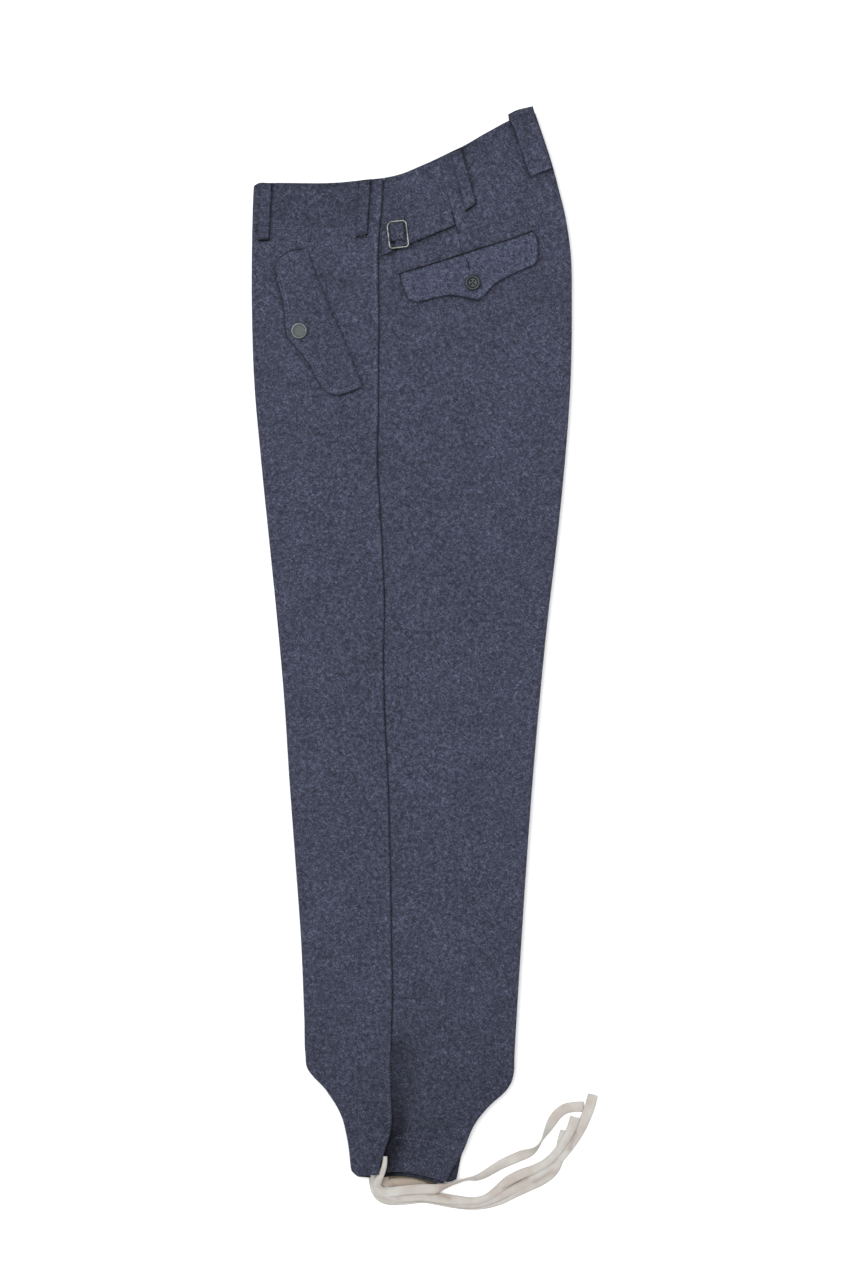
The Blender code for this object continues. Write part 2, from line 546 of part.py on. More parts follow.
def lying_piece(name, sides, thickness, step, finish="wool_melton", middle=None):
    """A sheet with rounded edges that lies on the upper leg, made from the leg's own surface moved up."""
    x, y, inside = patch(sides, step, min(EDGE_ROUND, thickness / 2))
    z = leg_surface(x, y) + LIE_GAP + thickness / 2 if middle is None else middle(x, y)
    half = thickness / 2 * inside
    return closed_sheet(name, np.stack([x, y, z + half], -1), np.stack([x, y, z - half], -1), finish)


def centre_back_middle(x, y):
    """The centre-back loop bends down past the waist edge that it wraps over."""
    past = np.clip(y - read_table(WAIST_LINE, x), 0, None)
    lying_y = np.minimum(y, read_table(WAIST_LINE, x))
    return leg_surface(x, lying_y) + LIE_GAP + LOOP_THICKNESS / 2 - LOOP_OVERHANG_DROP * past**2


def hem_band():
    """The back's turned hem edge, a narrow band just below the back panel."""
    shares = np.linspace(0.012, 0.97, 9)
    x, y = row_points(BACK, shares, np.full_like(shares, HEM))
    width = HEM_BAND_WIDTH * (1 - 0.5 * ramp(shares, 0.8, 0.97))
    upper = np.stack([x, y - SEAM_GAP], axis=-1)
    lower = np.stack([x, y - SEAM_GAP - width], axis=-1)
    sides = {
        "top": upper.tolist(),
        "right": [upper[-1].tolist(), lower[-1].tolist()],
        "bottom": lower.tolist(),
        "left": [upper[0].tolist(), lower[0].tolist()],
    }

    def middle(px, py):
        hem_y = read_table(HEM_LINE, px)
        wall = leg_surface(px, hem_y) - VENT_STEP - WALL / 2
        return wall - HEM_BAND_FALL * (hem_y - py)

    return lying_piece("hem_band", sides, WALL, 12.0, middle=middle)


def leg_opening_lining():
    """The ankle lining that shows in the leg opening: it lies on the lower leg and hangs over its hem."""
    sides = {
        "top": [(-27.0, -545.5), (-2.0, -546.0), (24.0, -551.5)],
        "right": [(24.0, -551.5), (25.5, -559.0), (26.5, -566.5)],
        "bottom": [(-23.0, -567.5), (-11.8, -569.0), (9.2, -569.2), (26.5, -566.5)],
        "left": [(-27.0, -545.5), (-25.5, -556.0), (-23.0, -567.5)],
    }

    def middle(px, py):
        hem_y = read_table(LOWER_HEM_LINE, px)
        return LINING_TOP - LINING_FALL * ramp(hem_y - py, -0.5, 6.5)

    return lying_piece("leg_opening_lining", sides, LINING_THICKNESS, 6.0, "cotton_lining", middle)


def turned_button(name, centre, profile, base_z, finish):
    """A round button from its profile, turned about its own middle."""
    turn = np.linspace(0, 2 * math.pi, BUTTON_SEGMENTS, endpoint=False)
    radius, height = np.array(profile).T
    ring_x = radius[:, None] * np.cos(turn)
    ring_y = radius[:, None] * np.sin(turn)
    ring_z = np.repeat(height[:, None], BUTTON_SEGMENTS, axis=1)
    rings = np.stack([ring_x, ring_y, ring_z], axis=-1).reshape(-1, 3)
    poles = np.array([(0, 0, height[0]), (0, 0, height[-1])])
    index = np.arange(len(rings)).reshape(len(profile), BUTTON_SEGMENTS)
    index = np.concatenate([index, index[:, :1]], axis=1)
    faces = grid_faces(index)
    faces += [[len(rings), b, a] for a, b in zip(index[0, :-1], index[0, 1:])]
    faces += [[len(rings) + 1, a, b] for a, b in zip(index[-1, :-1], index[-1, 1:])]
    faces = [[int(number) for number in face] for face in faces]
    points = np.concatenate([rings, poles]) + np.array([*centre, base_z])
    return new_object(name, points, faces, finish)


def drill_button(button, centre, base_z):
    """Four thread holes through a button."""
    for turn in range(4):
        angle = math.radians(45 + 90 * turn)
        x = centre[0] + SHIFT_X + HOLE_OFFSET * math.sqrt(2) * math.cos(angle)
        y = centre[1] + SHIFT_Y + HOLE_OFFSET * math.sqrt(2) * math.sin(angle)
        bpy.ops.mesh.primitive_cylinder_add(
            vertices=10, radius=HOLE_RADIUS * MM, depth=8 * MM, location=(x * MM, y * MM, (base_z + 1.5) * MM)
        )
        drill = bpy.context.object
        drill.name = f"thread_hole_{turn + 1}"
        drill.hide_render = True
        drill.display_type = "WIRE"
        hole = button.modifiers.new(drill.name, "BOOLEAN")
        hole.operation = "DIFFERENCE"
        hole.object = drill


def buckle():
    """The cinch buckle: one closed loop of round wire with four rounded corners."""
    half_x, half_y = BUCKLE_SIZE[0] / 2 - BUCKLE_CORNER, BUCKLE_SIZE[1] / 2 - BUCKLE_CORNER
    path = []
    for corner, (sign_x, sign_y) in enumerate([(1, 1), (-1, 1), (-1, -1), (1, -1)]):
        for step in range(5):
            angle = math.radians(90 * corner + 22.5 * step)
            x = sign_x * half_x + BUCKLE_CORNER * math.cos(angle)
            y = sign_y * half_y + BUCKLE_CORNER * math.sin(angle)
            path.append((x, y))
    cos, sin = math.cos(BUCKLE_TILT), math.sin(BUCKLE_TILT)
    path = np.array(path) @ np.array([[cos, sin], [-sin, cos]])
    along = np.roll(path, -1, axis=0) - np.roll(path, 1, axis=0)
    along /= np.linalg.norm(along, axis=1, keepdims=True)
    outwards = np.stack([along[:, 1], -along[:, 0]], axis=-1)
    around = np.radians(np.arange(0, 360, 45))
    flat = path[:, None, :] + BUCKLE_WIRE * np.cos(around)[None, :, None] * outwards[:, None, :]
    x, y = flat[..., 0] + BUCKLE_CENTRE[0], flat[..., 1] + BUCKLE_CENTRE[1]
    seat = leg_surface(np.array(BUCKLE_CENTRE[0]), np.array(BUCKLE_CENTRE[1]))
    middle_z = float(seat) + LIE_GAP + STRAP_THICKNESS + BUCKLE_LIFT + BUCKLE_WIRE
    z = np.broadcast_to(middle_z + BUCKLE_WIRE * np.sin(around), x.shape)
    points = np.stack([x, y, z], axis=-1)
    index = np.arange(x.size).reshape(x.shape)
    index = np.concatenate([index, index[:1]], axis=0)
    index = np.concatenate([index, index[:, :1]], axis=1)
    return new_object("buckle", points.reshape(-1, 3), grid_faces(index), "steel_wire")


def tape(name, route):
    """A flat tape carried along its route, its width level or tipped up where it stands on its edge."""
    route = np.array(route, float)
    count = round(length_of(route) / TAPE_STEP) + 1
    placed = curve_through(route, np.linspace(0, 1, count))
    centre, tip = placed[:, :3], np.radians(placed[:, 3])
    reach = (TAPE_WIDTH * np.sin(tip) + TAPE_THICKNESS * np.cos(tip)) / 2
    centre[:, 2] = np.maximum(centre[:, 2], reach + TABLE_GAP)
    along = np.gradient(centre, axis=0)
    along /= np.linalg.norm(along, axis=1, keepdims=True)
    level = np.stack([-along[:, 1], along[:, 0], 0 * tip], axis=-1)
    level /= np.linalg.norm(level, axis=1, keepdims=True)
    rise = np.cross(along, level)
    wide = level * np.cos(tip)[:, None] + rise * np.sin(tip)[:, None]
    thick = np.cross(along, wide)
    signs = np.array([(-1, -1), (1, -1), (1, 1), (-1, 1)])
    sideways = signs[None, :, :1] * wide[:, None, :] * TAPE_WIDTH / 2
    upwards = signs[None, :, 1:] * thick[:, None, :] * TAPE_THICKNESS / 2
    points = centre[:, None, :] + sideways + upwards
    index = np.arange(points.shape[0] * 4).reshape(-1, 4)
    closed = np.concatenate([index, index[:, :1]], axis=1)
    faces = grid_faces(closed) + [index[0].tolist(), index[-1, ::-1].tolist()]
    return new_object(name, points.reshape(-1, 3), faces, "cotton_tape")


def main():
    clear_scene()
    leg_panel("front_panel", FRONT)
    leg_panel("back_panel", BACK)
    under_layers()
    hem_band()
    leg_opening_lining()

    lying_piece("front_pocket_flap", FRONT_FLAP, FLAP_THICKNESS, 13.0)
    lying_piece("back_pocket_flap", BACK_FLAP, FLAP_THICKNESS, 11.0)
    for name, corners in BELT_LOOPS.items():
        lying_piece(name, straight_sides(corners), LOOP_THICKNESS, 10.0)
    lying_piece("loop_centre_back", CENTRE_BACK_LOOP, LOOP_THICKNESS, 8.0, middle=centre_back_middle)
    lying_piece("cinch_strap", straight_sides(CINCH_STRAP), STRAP_THICKNESS, 12.0)
    lying_piece("cinch_tab", straight_sides(CINCH_TAB), STRAP_THICKNESS, 8.0)
    buckle()

    for name, centre, profile, finish in (
        ("front_pocket_button", FRONT_BUTTON_CENTRE, FRONT_BUTTON_PROFILE, "painted_button_metal"),
        ("back_pocket_button", BACK_BUTTON_CENTRE, BACK_BUTTON_PROFILE, "button_plastic"),
    ):
        seat = float(leg_surface(np.array(centre[0]), np.array(centre[1])))
        base_z = seat + LIE_GAP + FLAP_THICKNESS + LIE_GAP
        button = turned_button(name, centre, profile, base_z, finish)
        if name == "back_pocket_button":
            drill_button(button, centre, base_z)

    for name, route in TAPE_ROUTES.items():
        tape(name, route)


main()
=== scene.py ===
"""Wool military trousers, folded along their creases and laid flat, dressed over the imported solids.

Every piece is worked out in millimetres in the same place as the solids, and becomes metres when its mesh is
made. Pieces that lie on the leg are made from the leg's own surface moved up, so they follow its form.
"""

import math

import bpy
import numpy as np
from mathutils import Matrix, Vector


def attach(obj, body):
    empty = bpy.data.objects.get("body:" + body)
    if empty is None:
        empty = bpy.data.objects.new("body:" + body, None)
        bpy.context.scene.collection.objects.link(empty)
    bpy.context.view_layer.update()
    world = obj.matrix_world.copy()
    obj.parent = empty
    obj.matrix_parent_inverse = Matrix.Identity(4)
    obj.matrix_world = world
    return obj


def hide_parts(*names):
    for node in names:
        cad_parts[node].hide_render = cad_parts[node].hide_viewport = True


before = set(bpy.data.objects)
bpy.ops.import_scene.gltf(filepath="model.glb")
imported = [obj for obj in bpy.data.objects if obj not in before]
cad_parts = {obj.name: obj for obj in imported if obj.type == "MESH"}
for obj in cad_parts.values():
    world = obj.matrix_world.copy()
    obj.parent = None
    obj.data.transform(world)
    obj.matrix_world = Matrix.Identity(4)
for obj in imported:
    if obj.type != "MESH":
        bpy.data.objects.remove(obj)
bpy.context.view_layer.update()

MM = 0.001
FRONT, BACK = -1, 1

# Where the tables' own origin lies in the model.
PLACE = np.array([-0.15, 2.0, 0.0])

WALL = 2.0  # fulled wool cloth
SEAM_GAP = 0.3
LIE_GAP = 0.5  # under a piece that lies on another
FOLD_RADIUS = 3.0  # outside of a pressed fold
UPPER_FOLD_Z = 9.4  # middle of the upper leg's folds
LOWER_LEG_RADIUS = 3.05  # half the thickness of the leg below
LOWER_LEG_SHADE = -0.28  # it lies in the shadow of the leg on top
CROWN = 1.6
FULL_WIDTH = 335.0
UNDER_TURN = 2.5  # how far the cloth turns in under itself past a fold
EDGE_ROUND = 1.0

WAIST = 489.8  # height of the side seam's two ends
HEM = -553.2
WAIST_BEND_FROM = 230.0
HEM_BEND_FROM = -440.0
FACING_DEPTH = (44.0, 52.0)
FACING_LIFT = 0.8

VENT_TOP = (-395.0, -420.0)  # the ankle vent opens over this stretch
LAP_START = (-425.0, -450.0)
LAP = 10.0  # how far the back goes in under the front at the vent
VENT_STEP = 1.2
FRONT_STEP_REACH = (13.0, 42.0)
BACK_STEP_REACH = (4.0, 30.0)
VENT_CURL = (-490.0, -525.0)
CURL_LIFT = 1.8

FLAP_THICKNESS = 3.2
TOPSTITCH_INSET = 5.6  # from a flap's free edge
LOOP_THICKNESS = 2.2
STRAP_THICKNESS = 2.4
HEM_BAND_WIDTH = 4.2
HEM_BAND_FALL = 0.25
LINING_THICKNESS = 0.9
LINING_TOP = 7.3
LINING_FALL = 5.1

TAPE_WIDTH = 11.0
TAPE_THICKNESS = 0.8
TAPE_STEP = 1.6  # between the sections that a tape is made of
TABLE_GAP = 0.1

# Height, then x, of the front crease.
FRONT_CREASE = [
    (486, -165.3), (466, -166.3), (433, -167.2), (350, -167.5), (279, -165.2), (195, -158.0),
    (111, -149.5), (27, -141.0), (-57, -133.6), (-141, -128.2), (-225, -122.0), (-309, -116.0),
    (-393, -112.5), (-430, -111.3), (-443, -109.5), (-452, -103.2), (-458, -97.2), (-465, -90.6),
    (-471, -86.4), (-477, -82.2), (-484, -78.0), (-496, -72.5), (-509, -69.2), (-521, -66.8),
    (-533, -65.2), (-546, -63.8), (-554, -62.2),
]

# Height, then x, of the side seam, which wanders a little as pressed seams do.
SIDE_SEAM = [
    (490, -28.8), (457, -31.0), (426, -33.8), (347, -34.0), (290, -34.3), (245, -34.6), (207, -35.5),
    (182, -35.0), (157, -33.6), (132, -32.2), (107, -30.5), (81, -29.8), (56, -28.4), (31, -28.2),
    (0, -29.2), (-45, -28.8), (-95, -27.0), (-145, -24.3), (-196, -23.0), (-246, -21.8), (-322, -20.6),
    (-372, -19.8), (-404, -21.0), (-435, -22.0), (-473, -21.5), (-498, -20.7), (-512, -22.8),
    (-527, -27.6), (-540, -31.8), (-554, -34.2),
]

# Height, then x, of the centre-back fold above the ankle.
BACK_CREASE = [
    (559, 129.5), (534, 138.0), (508, 146.5), (483, 153.2), (450, 161.3), (416, 166.4), (350, 168.0),
    (279, 166.8), (237, 164.4), (195, 161.0), (111, 152.6), (27, 142.7), (-57, 134.3), (-141, 127.0),
    (-225, 120.8), (-309, 115.2), (-393, 110.0), (-430, 107.9), (-450, 106.9), (-458, 104.7),
    (-465, 100.5), (-471, 95.3), (-477, 88.0), (-484, 80.6), (-490, 75.3), (-496, 70.4), (-504, 65.2),
    (-515, 60.3), (-528, 55.4),
]
# The same below, for the leg on top and for the leg under it, whose ankle shows.
UPPER_BACK_ANKLE = [(-536, 51.0), (-548, 43.3), (-563, 36.0)]
LOWER_BACK_ANKLE = [(-536, 52.6), (-548, 50.1), (-563, 47.0)]

# x, then height, along the waist edge and along the hem.
WAIST_LINE = [
    (-165.3, 481.5), (-161, 484.3), (-150, 484.6), (-75, 485.0), (-43, 488.3), (-28.8, 489.8),
    (-8.7, 494.6), (5, 500.3), (24, 508.7), (41, 517.0), (56, 524.2), (72, 533.6), (87, 542.0),
    (102, 550.0), (129.5, 558.5),
]
HEM_LINE = [
    (-62.2, -549.6), (-59.5, -553.2), (-50, -554.5), (-34.2, -554.0), (-25.7, -552.4), (-7, -552.1),
    (13, -555.8), (30, -560.7), (36, -562.3),
]
LOWER_HEM_LINE = [
    (-62.2, -551.0), (-57, -556.2), (-50, -557.6), (-34.2, -557.2), (-7, -553.0), (13, -554.5),
    (30, -561.0), (38, -562.5), (47, -559.5),
]

# Soft swells over the pocket bags, the seat, the knee and the ankle facings: x, y, half width, half height
# and lift.
SWELLS = [
    (-95, 335, 58, 90, 0.7),
    (62, 350, 75, 85, 0.7),
    (15, 120, 100, 120, 0.5),
    (-72, -60, 45, 110, 0.4),
    (62, -190, 48, 120, 0.5),
    (2, -490, 55, 70, 1.0),
]

# The four sides of each pocket flap, x and y from corner to corner: top, right, bottom and left.
FRONT_FLAP = {
    "top": [(-142.6, 400.0), (-139.4, 404.9), (-131.9, 410.8), (-122.8, 414.5), (-110.0, 416.1)],
    "right": [(-110.0, 416.1), (-99.8, 389.3), (-81.5, 345.5), (-61.2, 297.3), (-51.6, 270.4)],
    "bottom": [(-93.4, 269.3), (-86.9, 264.0), (-76.2, 261.3), (-65.5, 264.0), (-51.6, 270.4)],
    "left": [
        (-142.6, 400.0), (-143.5, 392.6), (-141.1, 379.7), (-136.8, 365.9), (-134.0, 348.6),
        (-132.8, 331.5), (-130.9, 322.9), (-124.4, 314.9), (-113.7, 302.6), (-105.7, 290.7),
        (-98.8, 277.9), (-93.4, 269.3),
    ],
}
BACK_FLAP = {
    "top": [(-13.4, 389.6), (13.9, 397.8), (45.7, 407.9), (71.1, 416.3), (96.7, 423.9), (126.0, 434.5)],
    "right": [(126.0, 434.5), (131.0, 428.3), (132.9, 414.3), (132.2, 404.1), (127.2, 397.8)],
    "bottom": [
        (-3.8, 362.1), (3.7, 359.0), (15.2, 360.3), (28.0, 364.0), (44.5, 365.4), (58.4, 362.8),
        (69.9, 360.9), (77.4, 367.3), (83.9, 374.9), (97.9, 384.4), (113.1, 391.4), (127.2, 397.8),
    ],
    "left": [(-13.4, 389.6), (-11.5, 382.5), (-9.0, 372.3), (-3.8, 362.1)],
}

# Belt loops by their corners: top left, top right, bottom right, bottom left.
BELT_LOOPS = {
    "loop_front": [(-158.2, 484.2), (-145.6, 484.4), (-149.0, 425.8), (-161.5, 425.8)],
    "loop_side": [(-54.8, 486.8), (-42.2, 488.2), (-46.0, 429.9), (-58.2, 427.0)],
    "loop_back": [(40.9, 516.6), (52.2, 521.6), (68.2, 463.8), (56.6, 455.2)],
}
# The wider loop over the centre-back seam runs on over the waist edge.
CENTRE_BACK_LOOP = {
    "top": [(101.0, 556.4), (107.6, 560.2), (127.0, 565.6)],
    "right": [(127.0, 565.6), (131.0, 549.5), (139.6, 526.0), (148.6, 499.0)],
    "bottom": [(123.5, 489.6), (136.0, 494.2), (148.6, 499.0)],
    "left": [(101.0, 556.4), (102.4, 548.5), (106.3, 541.9), (110.1, 529.2), (115.2, 514.6), (123.5, 489.6)],
}
LOOP_OVERHANG_DROP = 0.07  # how fast that loop bends down past the edge, per millimetre of its reach

CINCH_STRAP = [(-20.2, 435.8), (41.7, 456.4), (46.5, 439.4), (-17.9, 412.8)]
CINCH_TAB = [(-32.0, 434.6), (-21.8, 437.2), (-19.4, 412.0), (-32.5, 406.8)]

BUCKLE_CENTRE = (-14.4, 430.0)
BUCKLE_SIZE = (19.9, 27.6)  # between the middles of opposite wires
BUCKLE_BENDS = [(1, 1, 4.0), (-1, 1, 5.5), (-1, -1, 2.6), (1, -1, 3.2)]  # each corner's sides and radius
BUCKLE_TILT = math.radians(6.6)
BUCKLE_WIRE = 1.0  # radius of the wire
WIRE_SHOWN = 0.88  # share of that radius which is drawn
BUCKLE_LIFT = 0.5  # over the strap and the tab

# Tape routes: x, y, height of the middle, and how far the tape stands up on its edge in degrees.
TAPE_ROUTES = {
    # Lowest. It leaves the lower leg's hem and bulges out before its end.
    "tie_tape_d": [
        (-39.8, -558.0, 2.3, 0), (-39.8, -561.4, 1.2, 0), (-39.3, -567.5, 0.6, 0), (-37.2, -574.3, 0.6, 0),
        (-31.6, -580.8, 0.6, 0), (-23.2, -583.6, 0.6, 0), (-12.0, -583.2, 0.6, 0), (-0.3, -581.9, 0.6, 0),
        (11.3, -580.8, 0.6, 0), (26.0, -582.8, 0.6, 0), (40.7, -585.6, 0.6, 0), (58.5, -587.8, 0.6, 0),
        (76.4, -587.1, 0.6, 0), (92.1, -582.9, 0.6, 0), (107.9, -575.9, 0.6, 0), (124.6, -568.6, 0.6, 0),
        (139.4, -561.5, 0.6, 0), (148.9, -553.6, 0.6, 0), (153.9, -544.0, 0.6, 0), (156.3, -532.0, 0.6, 0),
        (158.3, -520.3, 0.6, 0), (161.4, -510.3, 0.6, 0),
    ],
    # Second. It reaches furthest, and its end crosses the end of the vent's tape.
    "tie_tape_a": [
        (-39.8, -558.0, 4.0, 0), (-39.1, -561.2, 2.8, 0), (-38.4, -567.0, 1.8, 0), (-36.5, -573.0, 1.8, 0),
        (-31.4, -578.9, 1.8, 0), (-23.9, -582.1, 1.8, 0), (-14.1, -582.2, 1.8, 0), (-1.3, -580.6, 1.8, 0),
        (11.3, -579.3, 1.8, 0), (26.0, -581.1, 1.8, 0), (40.7, -583.8, 1.8, 0), (56.4, -586.2, 1.8, 0),
        (72.2, -585.4, 1.8, 0), (86.9, -580.7, 1.8, 0), (101.6, -573.8, 1.8, 0), (116.3, -567.0, 1.8, 0),
        (131.0, -558.6, 1.8, 0), (144.6, -548.6, 1.8, 0), (157.2, -536.0, 1.8, 0), (168.8, -521.3, 1.8, 0),
        (178.2, -506.1, 1.8, 0), (184.5, -491.9, 1.8, 0), (188.4, -480.5, 1.8, 0), (190.6, -472.0, 1.6, 0),
    ],
    # Third. It comes out from between the two legs.
    "tie_tape_c": [
        (-40.2, -550.0, 7.4, 0), (-39.7, -554.9, 7.1, 0), (-38.8, -560.4, 5.0, 0), (-37.7, -565.8, 3.2, 0),
        (-36.0, -571.2, 3.0, 0), (-31.2, -576.5, 3.0, 0), (-24.4, -579.7, 3.0, 0), (-16.0, -580.5, 3.0, 0),
        (-3.4, -579.1, 3.0, 0), (10.2, -578.4, 3.0, 0), (22.8, -579.6, 3.0, 0), (35.4, -581.5, 3.0, 0),
        (49.1, -583.4, 3.0, 0), (62.7, -584.2, 3.0, 0), (76.4, -581.7, 3.0, 0), (89.0, -573.8, 3.0, 0),
        (101.6, -562.8, 3.0, 0), (114.2, -556.0, 3.0, 0), (128.9, -550.7, 3.0, 0), (143.6, -542.3, 3.0, 0),
        (154.1, -531.3, 3.0, 0), (161.4, -520.3, 3.0, 0), (167.7, -508.7, 3.0, 0), (171.9, -495.6, 3.0, 0),
    ],
    # Top. It comes out of the vent over the hem, and stands on its edge in two places.
    "tie_tape_b": [
        (-27.6, -534.8, 13.2, 0), (-28.2, -542.4, 13.1, 0), (-29.8, -549.0, 12.9, 0),
        (-32.6, -555.6, 12.4, 0), (-35.2, -561.6, 9.4, 0), (-36.2, -566.5, 5.6, 0), (-34.4, -571.3, 4.2, 0),
        (-28.6, -574.1, 4.2, 0), (-20.2, -573.8, 4.2, 0), (-11.8, -572.8, 4.2, 0), (0.8, -571.4, 4.2, 0),
        (14.4, -570.7, 4.6, 4), (24.0, -570.4, 6.2, 6), (27.8, -570.0, 6.5, 20), (31.2, -569.3, 5.4, 42),
        (37.5, -567.6, 4.8, 57), (42.8, -565.6, 5.2, 66), (48.0, -563.6, 4.9, 61), (54.3, -561.5, 5.1, 69),
        (59.6, -560.4, 5.0, 66), (66.9, -559.9, 4.2, 47), (74.3, -557.4, 3.6, 36), (82.7, -552.6, 2.7, 25),
        (93.2, -546.3, 1.8, 13), (103.7, -541.2, 0.7, 0), (114.2, -536.8, 0.8, 2), (124.9, -532.2, 3.1, 30),
        (131.6, -527.1, 4.9, 62), (136.5, -520.0, 5.2, 75), (141.2, -511.6, 4.3, 50),
        (146.9, -501.6, 2.1, 18), (153.6, -492.6, 0.7, 0), (161.6, -487.1, 0.6, 0), (171.0, -485.1, 0.6, 0),
        (181.0, -484.8, 0.6, 0),
    ],
}

# Soft creases that folding and wear left in the cloth: x and y of both ends, half width and height. A trough has
# a height below zero.
CREASES = [
    (104.0, 196.0, 70.0, 128.0, 13.0, -0.55), (36.0, 202.0, -4.0, 138.0, 12.0, -0.45),
    (58.0, 238.0, 26.0, 214.0, 11.0, 0.40), (128.0, 300.0, 96.0, 250.0, 12.0, -0.35),
    (60.0, 330.0, 18.0, 290.0, 13.0, -0.35), (16.0, -40.0, 44.0, -66.0, 14.0, -0.40),
    (-118.0, 60.0, -92.0, 22.0, 12.0, -0.40), (-120.0, -70.0, -106.0, -130.0, 10.0, -0.35),
    (-82.0, 120.0, -66.0, 40.0, 9.0, 0.30), (78.0, -150.0, 50.0, -210.0, 13.0, -0.40),
    (8.0, -230.0, 30.0, -290.0, 10.0, -0.35), (86.0, -280.0, 62.0, -330.0, 12.0, 0.35),
    (22.0, -420.0, 34.0, -470.0, 7.0, -0.45), (66.0, -408.0, 54.0, -452.0, 8.0, 0.35),
    (-72.0, -352.0, -62.0, -392.0, 9.0, -0.35), (-60.0, -500.0, -46.0, -540.0, 6.0, -0.30),
    (8.0, -500.0, 30.0, -534.0, 8.0, 0.40), (140.0, 470.0, 120.0, 446.0, 9.0, -0.35),
    (-98.0, 470.0, -94.0, 444.0, 8.0, -0.30), (10.0, 486.0, 16.0, 464.0, 8.0, -0.30),
]

# Sewn lines on the two panels, as x and y of their points.
DART_SEAM = [(29.1, 507.7), (33.3, 486.7), (41.1, 459.4), (46.7, 438.4), (50.1, 422.6), (52.0, 412.5)]
WAIST_STITCH_DEPTH = 48.0
BACK_FACING_STITCH = [(-1.3, 405.8), (24.9, 413.2), (71.1, 432.1), (121.5, 448.9), (157.0, 462.5)]
ANKLE_BACK_STITCH = [(-17.0, -515.0), (8.0, -517.6), (30.2, -522.4), (42.8, -529.0)]
ANKLE_FRONT_STITCH = [(-53.3, -390.0), (-53.3, -445.7), (-55.5, -490.9), (-57.0, -520.0)]
ANKLE_FRONT_TOP = [(-56.5, -389.0), (-38.0, -389.4)]
BUTTONHOLE = [(57.6, 403.6), (61.2, 390.4)]

# Painted shade beside raised pieces, and painted highlights where the darkness is below zero: how wide, how dark,
# then x and y of the line's points.
SHADE_LINES = [
    (2.0, 0.32, [(-33.0, 405.6), (-19.4, 410.6), (-0.5, 418.4), (46.5, 438.2)]),
    (1.6, 0.25, [(-22.0, 414.6), (-4.0, 416.4)]),
    (1.7, 0.26, [(53.6, 521.5), (69.4, 463.6)]),
    (1.5, 0.22, [(-41.2, 488.0), (-45.0, 430.0)]),
    (1.5, 0.22, [(-144.6, 484.2), (-148.0, 426.0)]),
    (1.6, 0.24, [(100.0, 555.0), (105.6, 540.6), (109.2, 528.6), (114.2, 514.2), (122.4, 489.6)]),
    (1.5, 0.45, [(-58.0, 426.8), (-47.4, 429.4)]),
    (1.3, 0.32, [(-159.0, 425.0), (-150.0, 425.0)]),
    (1.4, 0.38, [(57.6, 454.8), (67.2, 461.6)]),
    (1.0, 0.18, [(52.8, 412.5), (54.5, 403.0)]),
    (1.3, 0.55, [(-20.8, 421.4), (-14.5, 424.2), (-7.2, 422.8)]),
    (1.1, 0.45, [(-7.6, 440.5), (-6.2, 425.0)]),
    (1.0, 0.30, [(-19.0, 440.0), (-9.0, 441.8)]),
    (1.0, 0.40, [(-156.5, 425.6), (-149.4, 426.3)]),
    (1.3, 0.30, [(46.4, 438.0), (50.1, 422.6), (52.0, 412.5)]),
    (1.0, -0.26, [(44.2, 438.4), (48.0, 422.0), (50.0, 412.5)]),
    (1.0, -0.26, [(30.9, 508.0), (35.1, 487.0), (42.9, 459.8), (47.0, 445.0)]),
    (1.1, 0.22, [(28.3, 507.4), (32.5, 486.4), (40.3, 459.0), (44.6, 444.0)]),
]

# Profiles of the two buttons from the middle of the face round to the middle of the back: radius, height.
FRONT_BUTTON_CENTRE = (-117.6, 329.0)
PRESSED_METAL_PROFILE = [
    (0.0, 1.95), (2.5, 1.95), (4.8, 1.98), (5.7, 2.08), (6.3, 2.45), (6.8, 2.88), (7.3, 3.05), (7.8, 2.98),
    (8.25, 2.6), (8.5, 2.0), (8.4, 1.4), (8.0, 0.8), (7.0, 0.3), (4.0, 0.02), (0.0, 0.0),
]
BACK_BUTTON_CENTRE = (63.9, 379.3)
MOULDED_PROFILE = [
    (0.0, 1.55), (2.4, 1.55), (4.2, 1.62), (4.75, 1.85), (5.1, 2.4), (5.6, 2.85), (6.3, 3.06), (7.1, 3.02),
    (7.8, 2.68), (8.3, 2.0), (8.3, 1.2), (7.6, 0.5), (5.0, 0.05), (0.0, 0.0),
]
HOLE_RADIUS = 0.9
HOLE_OFFSET = 1.8
THREAD_HEIGHT = 1.75  # over the foot of the back button

# Painted shade where the tapes fold and lie on each other: how wide, how dark, then x and y of the line.
TAPE_FOLD_SHADE = [
    (0.8, 0.30, [(-16.3, -579.8), (-4.3, -577.6), (27.3, -576.2)]),
    (0.7, 0.22, [(-38.9, -567.7), (-33.3, -569.5), (-27.0, -570.5), (-19.2, -569.5)]),
    (2.0, 0.20, [(-37.7, -578.5), (-25.7, -581.3), (-11.5, -580.6)]),
    (2.2, 0.45, [(28.1, -576.2), (39.7, -580.4)]),
    (1.7, 0.40, [(96.6, -570.4), (121.9, -559.9)]),
    (2.4, 0.40, [(129.0, -564.0), (148.0, -553.6)]),
    (1.9, 0.45, [(166.1, -529.3), (172.4, -511.4)]),
    (1.3, 0.35, [(-32.3, -553.4), (-29.6, -547.0)]),
]

